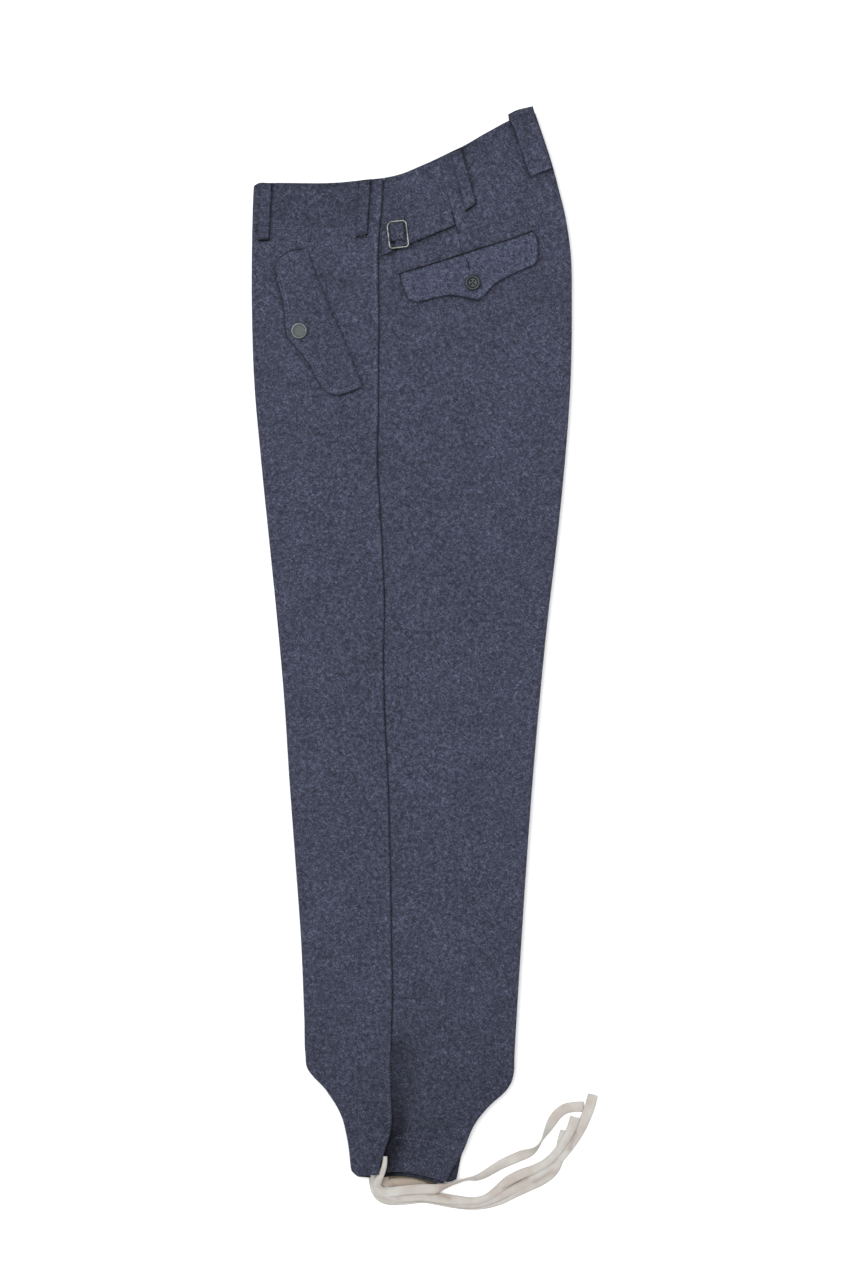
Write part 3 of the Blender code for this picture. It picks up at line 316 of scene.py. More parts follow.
# How wide each tape shows, as a share of its full width, at shares of the way along it.
TAPE_SPREADS = {
    "d": [(0.0, 0.95), (0.1, 0.9), (0.2, 1.0), (0.6, 1.0), (0.8, 0.85), (1.0, 0.95)],
    "a": [(0.0, 0.9), (0.12, 0.85), (0.3, 0.99), (0.5, 0.97), (0.7, 1.0), (1.0, 1.0)],
    "c": [(0.0, 0.8), (0.08, 0.75), (0.2, 0.98), (0.38, 0.99), (0.5, 0.7), (0.6, 0.98), (0.8, 0.85), (1.0, 1.0)],
    "b": [(0.0, 0.1), (0.015, 0.3), (0.05, 0.5), (0.1, 0.8), (0.16, 0.99), (0.45, 0.95), (0.7, 1.0), (1.0, 1.0)],
}

# Where the lining hangs over the lower hem: x, then height.
LINING_EDGE = [
    (-62.2, -547.0), (-50, -551.0), (-34.2, -551.2), (-7, -550.5), (13, -554.0), (30, -561.0),
    (38, -562.5), (47, -559.5),
]
LINING_SIDES = {
    "top": [(-36.5, -545.5), (-2.0, -546.0), (24.0, -551.5)],
    "right": [(24.0, -551.5), (25.5, -559.0), (26.5, -566.5)],
    "bottom": [(-32.5, -567.5), (-11.8, -569.0), (9.2, -569.2), (26.5, -566.5)],
    "left": [(-36.5, -545.5), (-35.0, -556.0), (-32.5, -567.5)],
}

# The line above which the lining is olive, partly its facing and partly painted shadow inside the leg's opening:
# x, then height.
OLIVE_EDGE = [
    (-40.0, -540.0), (-26.0, -545.0), (-24.4, -561.5), (-21.4, -559.9), (-11.5, -559.2), (2.6, -560.2),
    (13.1, -563.4), (18.0, -565.9), (28.0, -570.0),
]

# The turned end of the strap that shows through the buckle, rounded below.
STRAP_END_THICKNESS = 1.5
STRAP_END = {
    "top": [(-23.2, 441.2), (-15.5, 442.6), (-8.3, 443.2)],
    "right": [(-8.3, 443.2), (-7.4, 434.0), (-6.8, 426.0), (-6.7, 422.4)],
    "bottom": [(-19.8, 421.2), (-17.0, 423.6), (-13.6, 424.6), (-9.8, 424.0), (-6.7, 422.4)],
    "left": [(-23.2, 441.2), (-22.0, 432.0), (-20.8, 424.5), (-19.8, 421.2)],
}

# How much lower two loops' feet reach than their solids, then sewn marks on the loops and a fold of the tab.
FOOT_DROPS = {"loop_front": 2.4, "loop_back": 1.6}
LOOP_SIDE_KNOT = [
    [(-55.2, 427.6), (-52.4, 427.9)], [(-53.6, 428.9), (-50.9, 429.6)], [(-50.6, 428.4), (-47.4, 430.2)],
]
CENTRE_LOOP_ROW = [(125.0, 493.4), (136.0, 497.0), (146.6, 500.8)]
CENTRE_LOOP_UNDER = [(124.6, 492.2), (136.0, 495.6), (147.2, 499.4)]
TAB_FOLD = [(-33.1, 420.4), (-28.0, 416.9), (-24.2, 415.1)]


def smooth_value(known, values, at):
    """Cubic interpolation through values at rising places, flat beyond both ends."""
    known, values = np.asarray(known, float), np.asarray(values, float)
    slopes = np.gradient(values, known)
    at = np.clip(np.asarray(at, float), known[0], known[-1])
    cell = np.clip(np.searchsorted(known, at) - 1, 0, len(known) - 2)
    step = known[cell + 1] - known[cell]
    t = (at - known[cell]) / step
    start = values[cell] * (1 + 2 * t) * (1 - t) ** 2 + slopes[cell] * step * t * (1 - t) ** 2
    end = values[cell + 1] * t * t * (3 - 2 * t) + slopes[cell + 1] * step * t * t * (t - 1)
    return start + end


def read_table(table, at):
    """A table's second column at other values of its first one."""
    rows = np.array(sorted(table))
    return smooth_value(rows[:, 0], rows[:, 1], at)


def ramp(at, start, end):
    """0 at start and 1 at end, with a soft S between them."""
    t = np.clip((np.asarray(at, float) - start) / (end - start), 0, 1)
    return t * t * (3 - 2 * t)


def edge_share(distance, radius):
    """The half thickness of a round-edged sheet, from 0 on its edge to 1 a radius inside: a quarter circle."""
    return np.sqrt(1 - (1 - np.clip(np.asarray(distance, float) / radius, 0, 1)) ** 2)


def curve_through(knots, shares):
    """Points at shares of the way along a smooth curve through knots."""
    knots = np.asarray(knots, float)
    steps = np.linalg.norm(np.diff(knots[:, :2], axis=0), axis=1)
    way = np.concatenate([[0], np.cumsum(steps)]) / steps.sum()
    return np.stack([smooth_value(way, column, shares) for column in knots.T], axis=-1)


def length_of(knots):
    """Length of the straight lines through knots."""
    return np.linalg.norm(np.diff(np.asarray(knots, float)[:, :2], axis=0), axis=1).sum()


def way_along(points):
    """How far each point of a line lies from its start, measured along the line."""
    return np.concatenate([[0], np.cumsum(np.linalg.norm(np.diff(points, axis=0), axis=1))])


def directions(line):
    """Unit directions along a dense line, at its points."""
    along = np.gradient(line, axis=0)
    return along / np.linalg.norm(along, axis=1, keepdims=True)


def line_distance(x, y, line):
    """Distance of each point from a line of straight stretches: the least over the stretches, as one array."""
    line = np.asarray(line, float)
    start, step = line[:-1], np.diff(line, axis=0)
    away_x, away_y = x[..., None] - start[:, 0], y[..., None] - start[:, 1]
    foot = np.clip((away_x * step[:, 0] + away_y * step[:, 1]) / (step**2).sum(axis=1), 0, 1)
    return np.hypot(away_x - foot * step[:, 0], away_y - foot * step[:, 1]).min(axis=-1)


def bell(distance, width):
    """1 at no distance, falling softly on both sides to almost nothing at twice the width."""
    return np.exp(-((distance / width) ** 2))


def line_shade(x, y, lines):
    """The sum of soft dark lines, each a bell across a line of points."""
    return -sum(dark * bell(line_distance(x, y, line), width) for width, dark, line in lines)


def crease_x(side, y, lower=False):
    """x of the leg's outer fold at a height, for the front or the back."""
    if side == FRONT:
        return read_table(FRONT_CREASE, y)
    return read_table(BACK_CREASE + (LOWER_BACK_ANKLE if lower else UPPER_BACK_ANKLE), y)


def row_bend(line, side, across, level):
    """How far a row's point lies above the seam's end, where the waist or hem line bends the row."""
    seam = read_table(SIDE_SEAM, level)
    rows = sorted(line)
    corner = rows[0][0] if side == FRONT else rows[-1][0]
    return read_table(line, seam + (corner - seam) * across) - level


def row_points(side, across, height, lower=False):
    """x and y of points on the leg's rows, which bend as the waist and the hem do near these."""
    hem_line = LOWER_HEM_LINE if lower else HEM_LINE

    def bend(share):
        at_waist = row_bend(WAIST_LINE, side, share, WAIST) * ramp(height, WAIST_BEND_FROM, WAIST)
        return at_waist + row_bend(hem_line, side, share, HEM) * ramp(-height, -HEM_BEND_FROM, -HEM)

    y = height + bend(across)
    seam = read_table(SIDE_SEAM, height)
    x = seam + (crease_x(side, height + bend(np.ones_like(across)), lower) - seam) * across
    return x, y


def row_span(side, height, lower=False):
    """How far a row runs from the side seam to the crease, and how slanted the crease is there."""
    end_x, end_y = row_points(side, np.ones_like(height), height, lower)
    lean = (crease_x(side, end_y + 1, lower) - crease_x(side, end_y - 1, lower)) / 2
    return np.abs(end_x - read_table(SIDE_SEAM, height)), np.sqrt(1 + lean**2)


def leg_surface(x, y):
    """Height of the upper leg's outer face: a low crown, swells and waist facing, falling at the folds."""
    left, right = crease_x(FRONT, y), crease_x(BACK, y)
    share = np.clip((x - left) / (right - left), 0, 1)
    middle = 4 * share * (1 - share)
    z = UPPER_FOLD_Z + FOLD_RADIUS + CROWN * (right - left) / FULL_WIDTH * middle
    for centre_x, centre_y, half_width, half_height, lift in SWELLS:
        far = ((x - centre_x) / half_width) ** 2 + ((y - centre_y) / half_height) ** 2
        z = z + lift * np.clip(1 - far, 0, 1) ** 2
    depth = read_table(WAIST_LINE, x) - y
    z = z + FACING_LIFT * (1 - ramp(depth, *FACING_DEPTH)) * ramp(middle, 0, 0.5)
    from_fold = np.clip(np.minimum(x - left, right - x), 0, FOLD_RADIUS)
    return z - FOLD_RADIUS + np.sqrt(FOLD_RADIUS**2 - (FOLD_RADIUS - from_fold) ** 2)


def relief(x, y):
    """Soft unevenness of pressed wool: bell-shaped creases along lines, and low waves of a few wavelengths."""
    z = 0 * x
    for x0, y0, x1, y1, width, rise in CREASES:
        z = z + rise * bell(line_distance(x, y, [(x0, y0), (x1, y1)]), width)
    z = z + 0.10 * np.sin(x / 7.1 + 1.3 * np.sin(y / 23)) * np.sin(y / 9.7 + 0.8 * np.sin(x / 19))
    z = z + 0.16 * np.sin(x / 17 + 0.9 * np.sin(y / 41) + 1) * np.sin(y / 27 + 2)
    left, right = crease_x(FRONT, y), crease_x(BACK, y)
    return z * ramp(np.minimum(x - left, right - x), 1, 12)


def cloth_top(x, y):
    """Height of the upper leg's outer face with its creases."""
    return leg_surface(x, y) + relief(x, y)


def seat_height(centre):
    """Height of the leg's face at one place."""
    return float(leg_surface(*np.array(centre, float)))


def cloth_tone_and_painted_light(x, y):
    """How much lighter or darker the wool is: soft bands of painted shade, painted highlight and tone."""
    # Painted shade: darker towards the ankle, and more so on the back.
    ankle = -0.15 * ramp(-y, 330, 520) - 0.05 * ramp(x, -30, 10) * ramp(-y, 200, 420)
    depth = read_table(WAIST_LINE, x) - y
    # Darker over the waist facing and along the waist edge.
    facing = -0.10 * (1 - ramp(depth, 38, 54)) * (1 - 0.6 * ramp(x, -40, 0))
    waist_edge = -0.13 * (1 - ramp(depth, 4, 11))
    past_seam = x - read_table(SIDE_SEAM, y)
    below = ramp(-y, 395, 425)
    # Painted shadow beside the ankle vent, where the front's edge stands over the back.
    vent_shadow = -0.40 * below * ramp(past_seam, 0.1, 1.5) * (1 - ramp(past_seam, 5, 34))
    vent_shadow = vent_shadow - 0.25 * ramp(-y, 450, 505) * ramp(past_seam, 0.1, 1.5) * (1 - ramp(past_seam, 6, 24))
    # Painted shade in the side seam's groove.
    groove_shade = -0.30 * (1 - ramp(np.abs(past_seam), 0.5, 2.5)) * (1 - 0.5 * below)
    # Painted highlight on the ridge that the allowances raise beside the seam, brightest beside the tab.
    ridge = (0.10 + 0.14 * ramp(y, 120, 330) + 0.26 * bell(y - 408, 30)) * bell(past_seam + 3.6, 1.3)
    # Slightly paler over the seat, and a faint random tone.
    seat = 0.03 * ramp(y, 60, 250) * ramp(x, -60, 40)
    handled = 0.02 * np.sin(x / 31 + y / 57) * np.sin(y / 83 - x / 44)
    toned = ankle + facing + waist_edge + vent_shadow + groove_shade + ridge * (1 - below) + seat + handled
    # The shade lines add painted shade beside raised pieces and a few painted highlights.
    return toned + line_shade(x, y, SHADE_LINES)


def vent_shift(side, from_seam, height):
    """How far the front edge stands up, or the back lies lower, beside the ankle vent."""
    opened = ramp(-height, -VENT_TOP[0], -VENT_TOP[1])
    if side == BACK:
        return -VENT_STEP * opened * (1 - ramp(from_seam, *BACK_STEP_REACH))
    curled = CURL_LIFT * ramp(-height, -VENT_CURL[0], -VENT_CURL[1])
    return (VENT_STEP * opened + curled) * (1 - ramp(from_seam, *FRONT_STEP_REACH))


def seam_roll(side, from_seam, height):
    """The pressed allowances under a panel's edge: a low shelf with a soft step, four millimetres wide."""
    shelf = 0.34 if side == FRONT else 0.22
    wide = 4.4 + 0.5 * np.sin(height / 31)
    return shelf * (1 - ramp(from_seam, wide - 0.7, wide + 0.9))


def add_piece(name, points, faces, finish, slot, stands_for=(), along=None, shade=0.0):
    """A smooth mesh from points in millimetres and arrays of corners, riding on the part.

    along holds two lengths in millimetres for each point, which become the piece's UV map in metres. shade makes
    cloth lighter or darker at each point, mostly as painted shade and painted highlight, on top of the whole
    garment's tone bands and painted light on wool.
    """
    mesh = bpy.data.meshes.new(name)
    points = np.asarray(points)
    polygons = [row for array in faces for row in np.asarray(array).tolist()]
    mesh.from_pydata(((points + PLACE) * MM).tolist(), [], polygons)
    mesh.shade_smooth()
    # Wool takes the garment's tone bands and painted light, and shade adds each piece's own.
    toned = cloth_tone_and_painted_light(points[:, 0], points[:, 1]) if slot == "wool_melton" else 0 * points[:, 0]
    tone_and_painted_light = mesh.attributes.new("tone_and_painted_light", "FLOAT", "POINT")
    tone_and_painted_light.data.foreach_set("value", (toned + shade).astype(np.float32))
    if along is not None:
        corner = np.zeros(len(mesh.loops), np.int32)
        mesh.loops.foreach_get("vertex_index", corner)
        chart = mesh.uv_layers.new(name="cloth_lengths")
        chart.data.foreach_set("uv", (np.asarray(along)[corner] * MM).astype(np.float32).ravel())
    made = bpy.data.objects.new(name, mesh)
    made.data.materials.append(finish)
    bpy.context.scene.collection.objects.link(made)
    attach(made, "root")
    if stands_for:
        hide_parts(*stands_for)
    return made


def grid_faces(index):
    """Four-sided faces over a grid of point numbers, rows by columns."""
    corners = (index[:-1, :-1], index[:-1, 1:], index[1:, 1:], index[1:, :-1])
    return np.stack(corners, axis=-1).reshape(-1, 4)


def ring_faces(index, closed_rows):
    """Faces over rings of points, each ring closed, and the last ring joined to the first where asked."""
    if closed_rows:
        index = np.concatenate([index, index[:1]], axis=0)
    return grid_faces(np.concatenate([index, index[:, :1]], axis=1))


def closed_sheet(name, outer, inner, finish, slot, stands_for=(), turned=False, along=None, shade=None):
    """A closed body between two grids of points, which share the outer grid's border. turned swaps its sides."""
    rows, columns = outer.shape[:2]
    outer_index = np.arange(rows * columns).reshape(rows, columns)
    inner_index = outer_index.copy()
    inside = rows * columns + np.arange((rows - 2) * (columns - 2))
    inner_index[1:-1, 1:-1] = inside.reshape(rows - 2, columns - 2)
    points = np.concatenate([outer.reshape(-1, 3), inner[1:-1, 1:-1].reshape(-1, 3)])
    faces = [grid_faces(outer_index), grid_faces(inner_index)[:, ::-1]]
    if turned:
        faces = [face[:, ::-1] for face in faces]
    if along is not None:
        along = np.concatenate([along.reshape(-1, 2), along[1:-1, 1:-1].reshape(-1, 2)])
    shade = 0.0 if shade is None else np.concatenate([shade.ravel(), shade[1:-1, 1:-1].ravel()])
    return add_piece(name, points, faces, finish, slot, stands_for, along, shade)


ROUND = 1 - np.cos(np.radians([0, 22.5, 45, 67.5, 90]))  # how far in the points of a rounded edge lie, in radii


def row_heights(first, last, step, radius):
    """Heights of rows about a step apart, with close ones at both ends, where the edge is rounded."""
    count = round((first - last - 2 * radius) / step) + 1
    between = np.linspace(first - radius, last + radius, count)[1:-1]
    return np.concatenate([first - radius * ROUND, between, (last + radius * ROUND)[::-1]])


def leg_cloth(name, side, columns, finish, stands_for):
    """A panel of the upper leg: a wall from the side seam over the leg and round its fold.

    The wall is its middle surface, moved half its thickness each way along its normal, and less at its edges.
    Its edge at the seam bends down into the seam, and lies over or under the other edge at the ankle vent.
    """
    height = row_heights(WAIST, HEM, 2.6, EDGE_ROUND)[:, None]
    span, slant = row_span(side, height)
    flat = span - FOLD_RADIUS * slant
    lap = LAP * ramp(-height, -LAP_START[0], -LAP_START[1]) if side == BACK else 0 * height
    first = SEAM_GAP / 2 - lap
    near = [first + EDGE_ROUND * share for share in ROUND]
    beside = [0 * height + distance for distance in (1.7, 2.4, 3.1, 3.8, 4.4, 5.0, 5.7, 6.6, 8.0)]
    shares = [beside[-1] + (flat - beside[-1]) * share for share in np.linspace(0, 1, columns)[1:-1]]
    lying = np.concatenate([*near, *beside, *shares, flat], axis=1)
    turn = np.radians(np.arange(75, -91, -15))
    middle_radius = FOLD_RADIUS - WALL / 2
    folded = flat + middle_radius * slant * np.cos(turn)
    under = [flat - UNDER_TURN + EDGE_ROUND * (1 - share) for share in ROUND]
    from_seam = np.concatenate([lying, folded, *under[::-1]], axis=1)

    x, y = row_points(side, from_seam / span, height)
    normal_z = np.concatenate([np.ones(lying.shape[1]), np.sin(turn), -np.ones(len(under))])
    normal_x = np.concatenate([np.zeros(lying.shape[1]), np.cos(turn), np.zeros(len(under))])
    normal_x = normal_x[None, :] * slant * side
    top = cloth_top(x, y) + vent_shift(side, from_seam, height) + seam_roll(side, from_seam, height)
    sunk = 0.8 * (1 - ramp(from_seam, 0, 1.9)) * (1 - ramp(-height, -VENT_TOP[0], -VENT_TOP[1]))
    z = np.where(normal_z > 0.999, top - sunk - WALL / 2, UPPER_FOLD_Z + middle_radius * normal_z)
    z[:, lying.shape[1] - 1] = UPPER_FOLD_Z + middle_radius
    across_edge = np.minimum(from_seam - first, EDGE_ROUND)
    across_edge[:, -len(ROUND):] = EDGE_ROUND * ROUND[::-1]
    from_ends = np.minimum(height[0] - height, height - height[-1])
    half = WALL / 2 * edge_share(np.minimum(across_edge, from_ends), EDGE_ROUND)

    middle = np.stack([x, y, z], axis=-1)
    normal = np.stack([normal_x, 0 * normal_x, 0 * normal_x + normal_z], axis=-1) * half[..., None]
    return closed_sheet(
        name, middle + normal, middle - normal, finish, "wool_melton", stands_for, turned=side == BACK
    )


def flat_layer(name, inset_ends, edge_inset, radius, low, high, finish, lower=False, top_height=None):
    """A folded layer across both halves of a leg: a flat sheet with rounded rims between two heights."""
    height = row_heights(WAIST - inset_ends, HEM + inset_ends, 9.0, radius)[:, None]
    halves = []
    for side in (FRONT, BACK):
        span, slant = row_span(side, height, lower)
        end = span - edge_inset * slant
        rim = [end - radius * slant * share for share in ROUND]
        between = [15 + (rim[-1] - 15) * share for share in (0.8, 0.6, 0.4, 0.2)]
        columns = np.concatenate([*rim, *between, 0 * height + 15, 0 * height + 11.5], axis=1)
        x, y = row_points(side, columns / span, height, lower)
        halves.append((x, y, columns * side, edge_share((end - columns) / slant, radius)))
    seam_x, seam_y = row_points(BACK, 0 * height, height, lower)
    middle_line = (seam_x, seam_y, 0 * height, 1 + 0 * height)
    x, y, signed, inside = (
        np.concatenate([front, seam, back[:, ::-1]], axis=1)
        for front, seam, back in zip(halves[0], middle_line, halves[1])
    )
    from_ends = np.minimum(height[0] - height, height - height[-1])
    inside = np.minimum(inside, edge_share(from_ends, radius))
    top = high + 0 * x if top_height is None else top_height(x, y, signed, height)
    middle = (low + high) / 2
    outer = np.stack([x, y, middle + (top - middle) * inside], axis=-1)
    inner = np.stack([x, y, middle + (low - middle) * inside], axis=-1)
    return closed_sheet(name, outer, inner, finish, "wool_melton", ("under_layers",), turned=True)


def facing_top(x, y, from_seam, height):
    """The upper leg's facings reach up to just under its two panels."""
    lap = 1 - ramp(-from_seam, 11.5, 15)
    drop = np.where(from_seam < 0, vent_shift(BACK, 0 * x, height) * lap, vent_shift(BACK, from_seam, height))
    return leg_surface(x, y) + drop - WALL - 1.1


def folded_tube(name, inset_ends, edge_inset, finish):
    """The leg below, a tube of cloth pressed flat: rings of two flat stretches and two half-round folds.

    The rings run down the outside, round the hem's edge, up the inside and round the waist's edge.
    """
    first, last = WAIST - inset_ends, HEM - 0.7
    outside = np.linspace(first - EDGE_ROUND, last + EDGE_ROUND, 150)
    turn = np.radians(np.arange(30, 151, 30))
    heights = np.concatenate([
        outside,
        last + EDGE_ROUND - EDGE_ROUND * np.sin(turn),
        outside[::-3],
        first - EDGE_ROUND + EDGE_ROUND * np.sin(turn),
    ])[:, None]
    depth = np.concatenate([
        0 * outside,
        WALL / 2 * (1 - np.cos(turn)),
        WALL + 0 * outside[::-3],
        WALL / 2 * (1 + np.cos(turn)),
    ])[:, None]
    radius = LOWER_LEG_RADIUS - depth
    arc = np.radians(np.arange(75, -76, -15))[None, :]
    spans = {side: row_span(side, heights, lower=True) for side in (FRONT, BACK)}
    flats = {
        side: span - (edge_inset + LOWER_LEG_RADIUS) * slant for side, (span, slant) in spans.items()
    }
    share = np.linspace(0, 1, 24)[None, :]
    to_back = np.concatenate([-flats[FRONT] * share[:, :0:-1], flats[BACK] * share], axis=1)
    back_fold = flats[BACK] + radius * spans[BACK][1] * np.cos(arc)
    front_fold = -(flats[FRONT] + radius * spans[FRONT][1] * np.cos(arc))
    signed = np.concatenate([to_back, back_fold, to_back[:, ::-1], front_fold], axis=1)
    rise = np.concatenate([
        1 + 0 * to_back,
        np.sin(arc) + 0 * heights,
        -1 + 0 * to_back,
        -np.sin(arc) + 0 * heights,
    ], axis=1) * radius
    front_x, front_y = row_points(FRONT, np.clip(-signed, 0, None) / spans[FRONT][0], heights, lower=True)
    back_x, back_y = row_points(BACK, np.clip(signed, 0, None) / spans[BACK][0], heights, lower=True)
    x, y = np.where(signed < 0, front_x, back_x), np.where(signed < 0, front_y, back_y)
    points = np.stack([x, y, LOWER_LEG_RADIUS + rise], axis=-1)
    faces = ring_faces(np.arange(x.size).reshape(x.shape), True)[:, ::-1]
    return add_piece(
        name, points.reshape(-1, 3), [faces], finish, "wool_melton", ("under_layers",), shade=LOWER_LEG_SHADE
    )


def edge_stations(length, step, radius):
    """Shares of the way over a piece: five at each rounded edge, and others about a step apart between them."""
    count = max(2, round((length - 2 * radius) / step) + 1)
    between = np.linspace(radius, length - radius, count)[1:-1]
    return np.concatenate([radius * ROUND, between, (length - radius * ROUND)[::-1]]) / length


def patch(sides, step, radius):
    """A grid over a four-sided outline, blended from its sides, with each point's distance from its edge."""
    width = (length_of(sides["top"]) + length_of(sides["bottom"])) / 2
    depth = (length_of(sides["left"]) + length_of(sides["right"])) / 2
    across, along = edge_stations(width, step, radius), edge_stations(depth, step, radius)
    top, bottom = (curve_through(sides[side], across)[None, :, :] for side in ("top", "bottom"))
    left, right = (curve_through(sides[side], along)[:, None, :] for side in ("left", "right"))
    s, t = across[None, :, None], along[:, None, None]
    top_corners = (1 - s) * top[:, :1] + s * top[:, -1:]
    bottom_corners = (1 - s) * bottom[:, :1] + s * bottom[:, -1:]
    corners = (1 - t) * top_corners + t * bottom_corners
    grid = (1 - t) * top + t * bottom + (1 - s) * left + s * right - corners
    from_side = np.minimum(across, 1 - across)[None, :] * width
    from_end = np.minimum(along, 1 - along)[:, None] * depth
    lengths = np.stack(np.broadcast_arrays(across[None, :] * width, along[:, None] * depth), axis=-1)
    return grid[..., 0], grid[..., 1], np.minimum(from_side, from_end), lengths


def straight_sides(corners):
    """The four sides of a piece with straight edges, from its corners."""
    top_left, top_right, bottom_right, bottom_left = corners
    return {
        "top": [top_left, top_right],
        "right": [top_right, bottom_right],
        "bottom": [bottom_left, bottom_right],
        "left": [top_left, bottom_left],
    }


def lying_cloth(
    name, solid, sides, thickness, step, finish, slot="wool_melton", middle=None, shape=None, rim=-0.5,
    shade=None,
):
    """A sheet with rounded edges that lies on the leg: the leg's surface moved up, with its own shape added.

    rim is how much painted shade lies round its edge.
    """
    radius = min(EDGE_ROUND * 1.2, thickness / 2)
    x, y, from_edge, lengths = patch(sides, step, radius)
    z = cloth_top(x, y) + LIE_GAP + thickness / 2 if middle is None else middle(x, y)
    if shape is not None:
        z = z + shape(x, y)
    half = thickness / 2 * edge_share(from_edge, radius)
    outer, inner = np.stack([x, y, z + half], -1), np.stack([x, y, z - half], -1)
    # Painted shade round the rim, then the piece's own painted light.
    painted_light = rim * (1 - ramp(from_edge, 0.5, 2.1))
    if shade is not None:
        painted_light = painted_light + shade(x, y)
    stands_for = () if solid is None else (solid,)
    return closed_sheet(
        name, outer, inner, finish, slot, stands_for, turned=True, along=lengths, shade=painted_light
    )


def joined_sides(sides, names):
    """One dense line along several sides of an outline, each name with - in front taken backwards."""
    parts = []
    for name in names:
        line = curve_through(sides[name.lstrip("-")], np.linspace(0, 1, 60))
        parts.append(line[::-1] if name.startswith("-") else line)
    joined = np.concatenate(parts)
    keep = np.concatenate([[True], np.linalg.norm(np.diff(joined, axis=0), axis=1) > 1e-3])
    return joined[keep]


def moved_left(line, distance):
    """A line moved sideways to its left, with the points near sharp corners smoothed along it."""
    along = directions(line)
    moved = line + distance * np.stack([-along[:, 1], along[:, 0]], axis=-1)
    kept = line_distance(moved[:, 0], moved[:, 1], line) > distance * 0.97
    return moved[kept]


def flap_shade(free_line, sewn_line, inset, pressed):
    """A flap's painted highlight inside its free edge and painted shade in the topstitch's trough.

    pressed darkens its sewn edge with painted shade, and below 0 it takes back the painted shade
    that its rim has there.
    """

    def shade(x, y):
        free, sewn = line_distance(x, y, free_line), line_distance(x, y, sewn_line)
        edge = 0.14 * bell(free - inset * 0.62, 1.3)
        trough = -0.11 * bell(free - inset, 0.9)
        # Painted highlight inside the free edge, painted shade in the trough and along the sewn edge.
        return (edge + trough) * ramp(sewn, 1, 5) - pressed * (1 - ramp(sewn, 0.6, 2.6))

    return shade


def flap_shape(free_line, sewn_line, inset):
    """A flap's own form: a rolled free edge, a trough under its topstitch, and a sewn edge pressed down."""

    def shape(x, y):
        free, sewn = line_distance(x, y, free_line), line_distance(x, y, sewn_line)
        rolled = 0.25 * (1 - ramp(free, 1.0, inset))
        trough = -0.40 * bell(free - inset, 1.1) * ramp(sewn, 2, 5)
        puffed = 0.35 * ramp(free, inset, inset + 12) * ramp(sewn, 0, 14)
        return rolled + trough + puffed - 0.9 * (1 - ramp(sewn, 0.0, 4.0))

    return shape


def loop_shape(corners):
    """A belt loop's own form: crowned across, dipping at both ends where it is sewn down."""
    top_left, top_right, bottom_right, bottom_left = (np.array(corner) for corner in corners)
    ends = [(top_left + top_right) / 2, (bottom_left + bottom_right) / 2]
    wide = np.linalg.norm(top_right - top_left) / 2

    def shape(x, y):
        from_middle = line_distance(x, y, ends) / wide
        from_top = line_distance(x, y, [top_left, top_right])
        from_bottom = line_distance(x, y, [bottom_left, bottom_right])
        crowned = 0.45 * (1 - np.clip(from_middle, 0, 1) ** 2)
        dip = -0.9 * bell(from_bottom - 3.2, 1.5) - 0.7 * (1 - ramp(from_top, 0, 3))
        return crowned * ramp(from_bottom, 2, 9) + dip

    return shape


def stitch_rows(name, lines, length, gap, radius, finish, slot, above):
    """Rows of stitches, each a thin bead of thread between two points of the line, half sunk in the cloth."""
    starts, ends = [], []
    for line in lines:
        line = np.asarray(line, float)
        way = way_along(line)
        at = np.arange(gap / 2, way[-1] - length, length + gap)
        for found, place in ((starts, at), (ends, at + length)):
            found.append(np.stack([np.interp(place, way, line[:, 0]), np.interp(place, way, line[:, 1])], axis=-1))
    starts, ends = np.concatenate(starts), np.concatenate(ends)
    starts = np.column_stack([starts, above(starts[:, 0], starts[:, 1])])
    ends = np.column_stack([ends, above(ends[:, 0], ends[:, 1])])
    along = (ends - starts) / 2
    across = np.stack([-along[:, 1], along[:, 0], 0 * along[:, 0]], axis=-1)
    across /= np.linalg.norm(across, axis=1, keepdims=True)
    reach = np.sin(np.radians([-80, -50, 0, 50, 80]))
    round_ = np.radians(np.arange(0, 360, 60))
    centre = ((starts + ends) / 2)[:, None, None, :] + along[:, None, None, :] * reach[None, :, None, None]
    thick = radius * np.sqrt(1 - reach**2)[None, :, None, None]
    up = np.array([0.0, 0.0, 0.8])
    points = centre + thick * (
        across[:, None, None, :] * np.cos(round_)[None, None, :, None] + up * np.sin(round_)[None, None, :, None]
    )
    index = np.arange(points[..., 0].size).reshape(points.shape[:3])
    ring = np.concatenate([index, index[:, :, :1]], axis=2)
    corners = (ring[:, :-1, :-1], ring[:, :-1, 1:], ring[:, 1:, 1:], ring[:, 1:, :-1])
    beads = np.stack(corners, axis=-1).reshape(-1, 4)
    return add_piece(name, points.reshape(-1, 3), [beads, index[:, 0, ::-1], index[:, -1, :]], finish, slot)


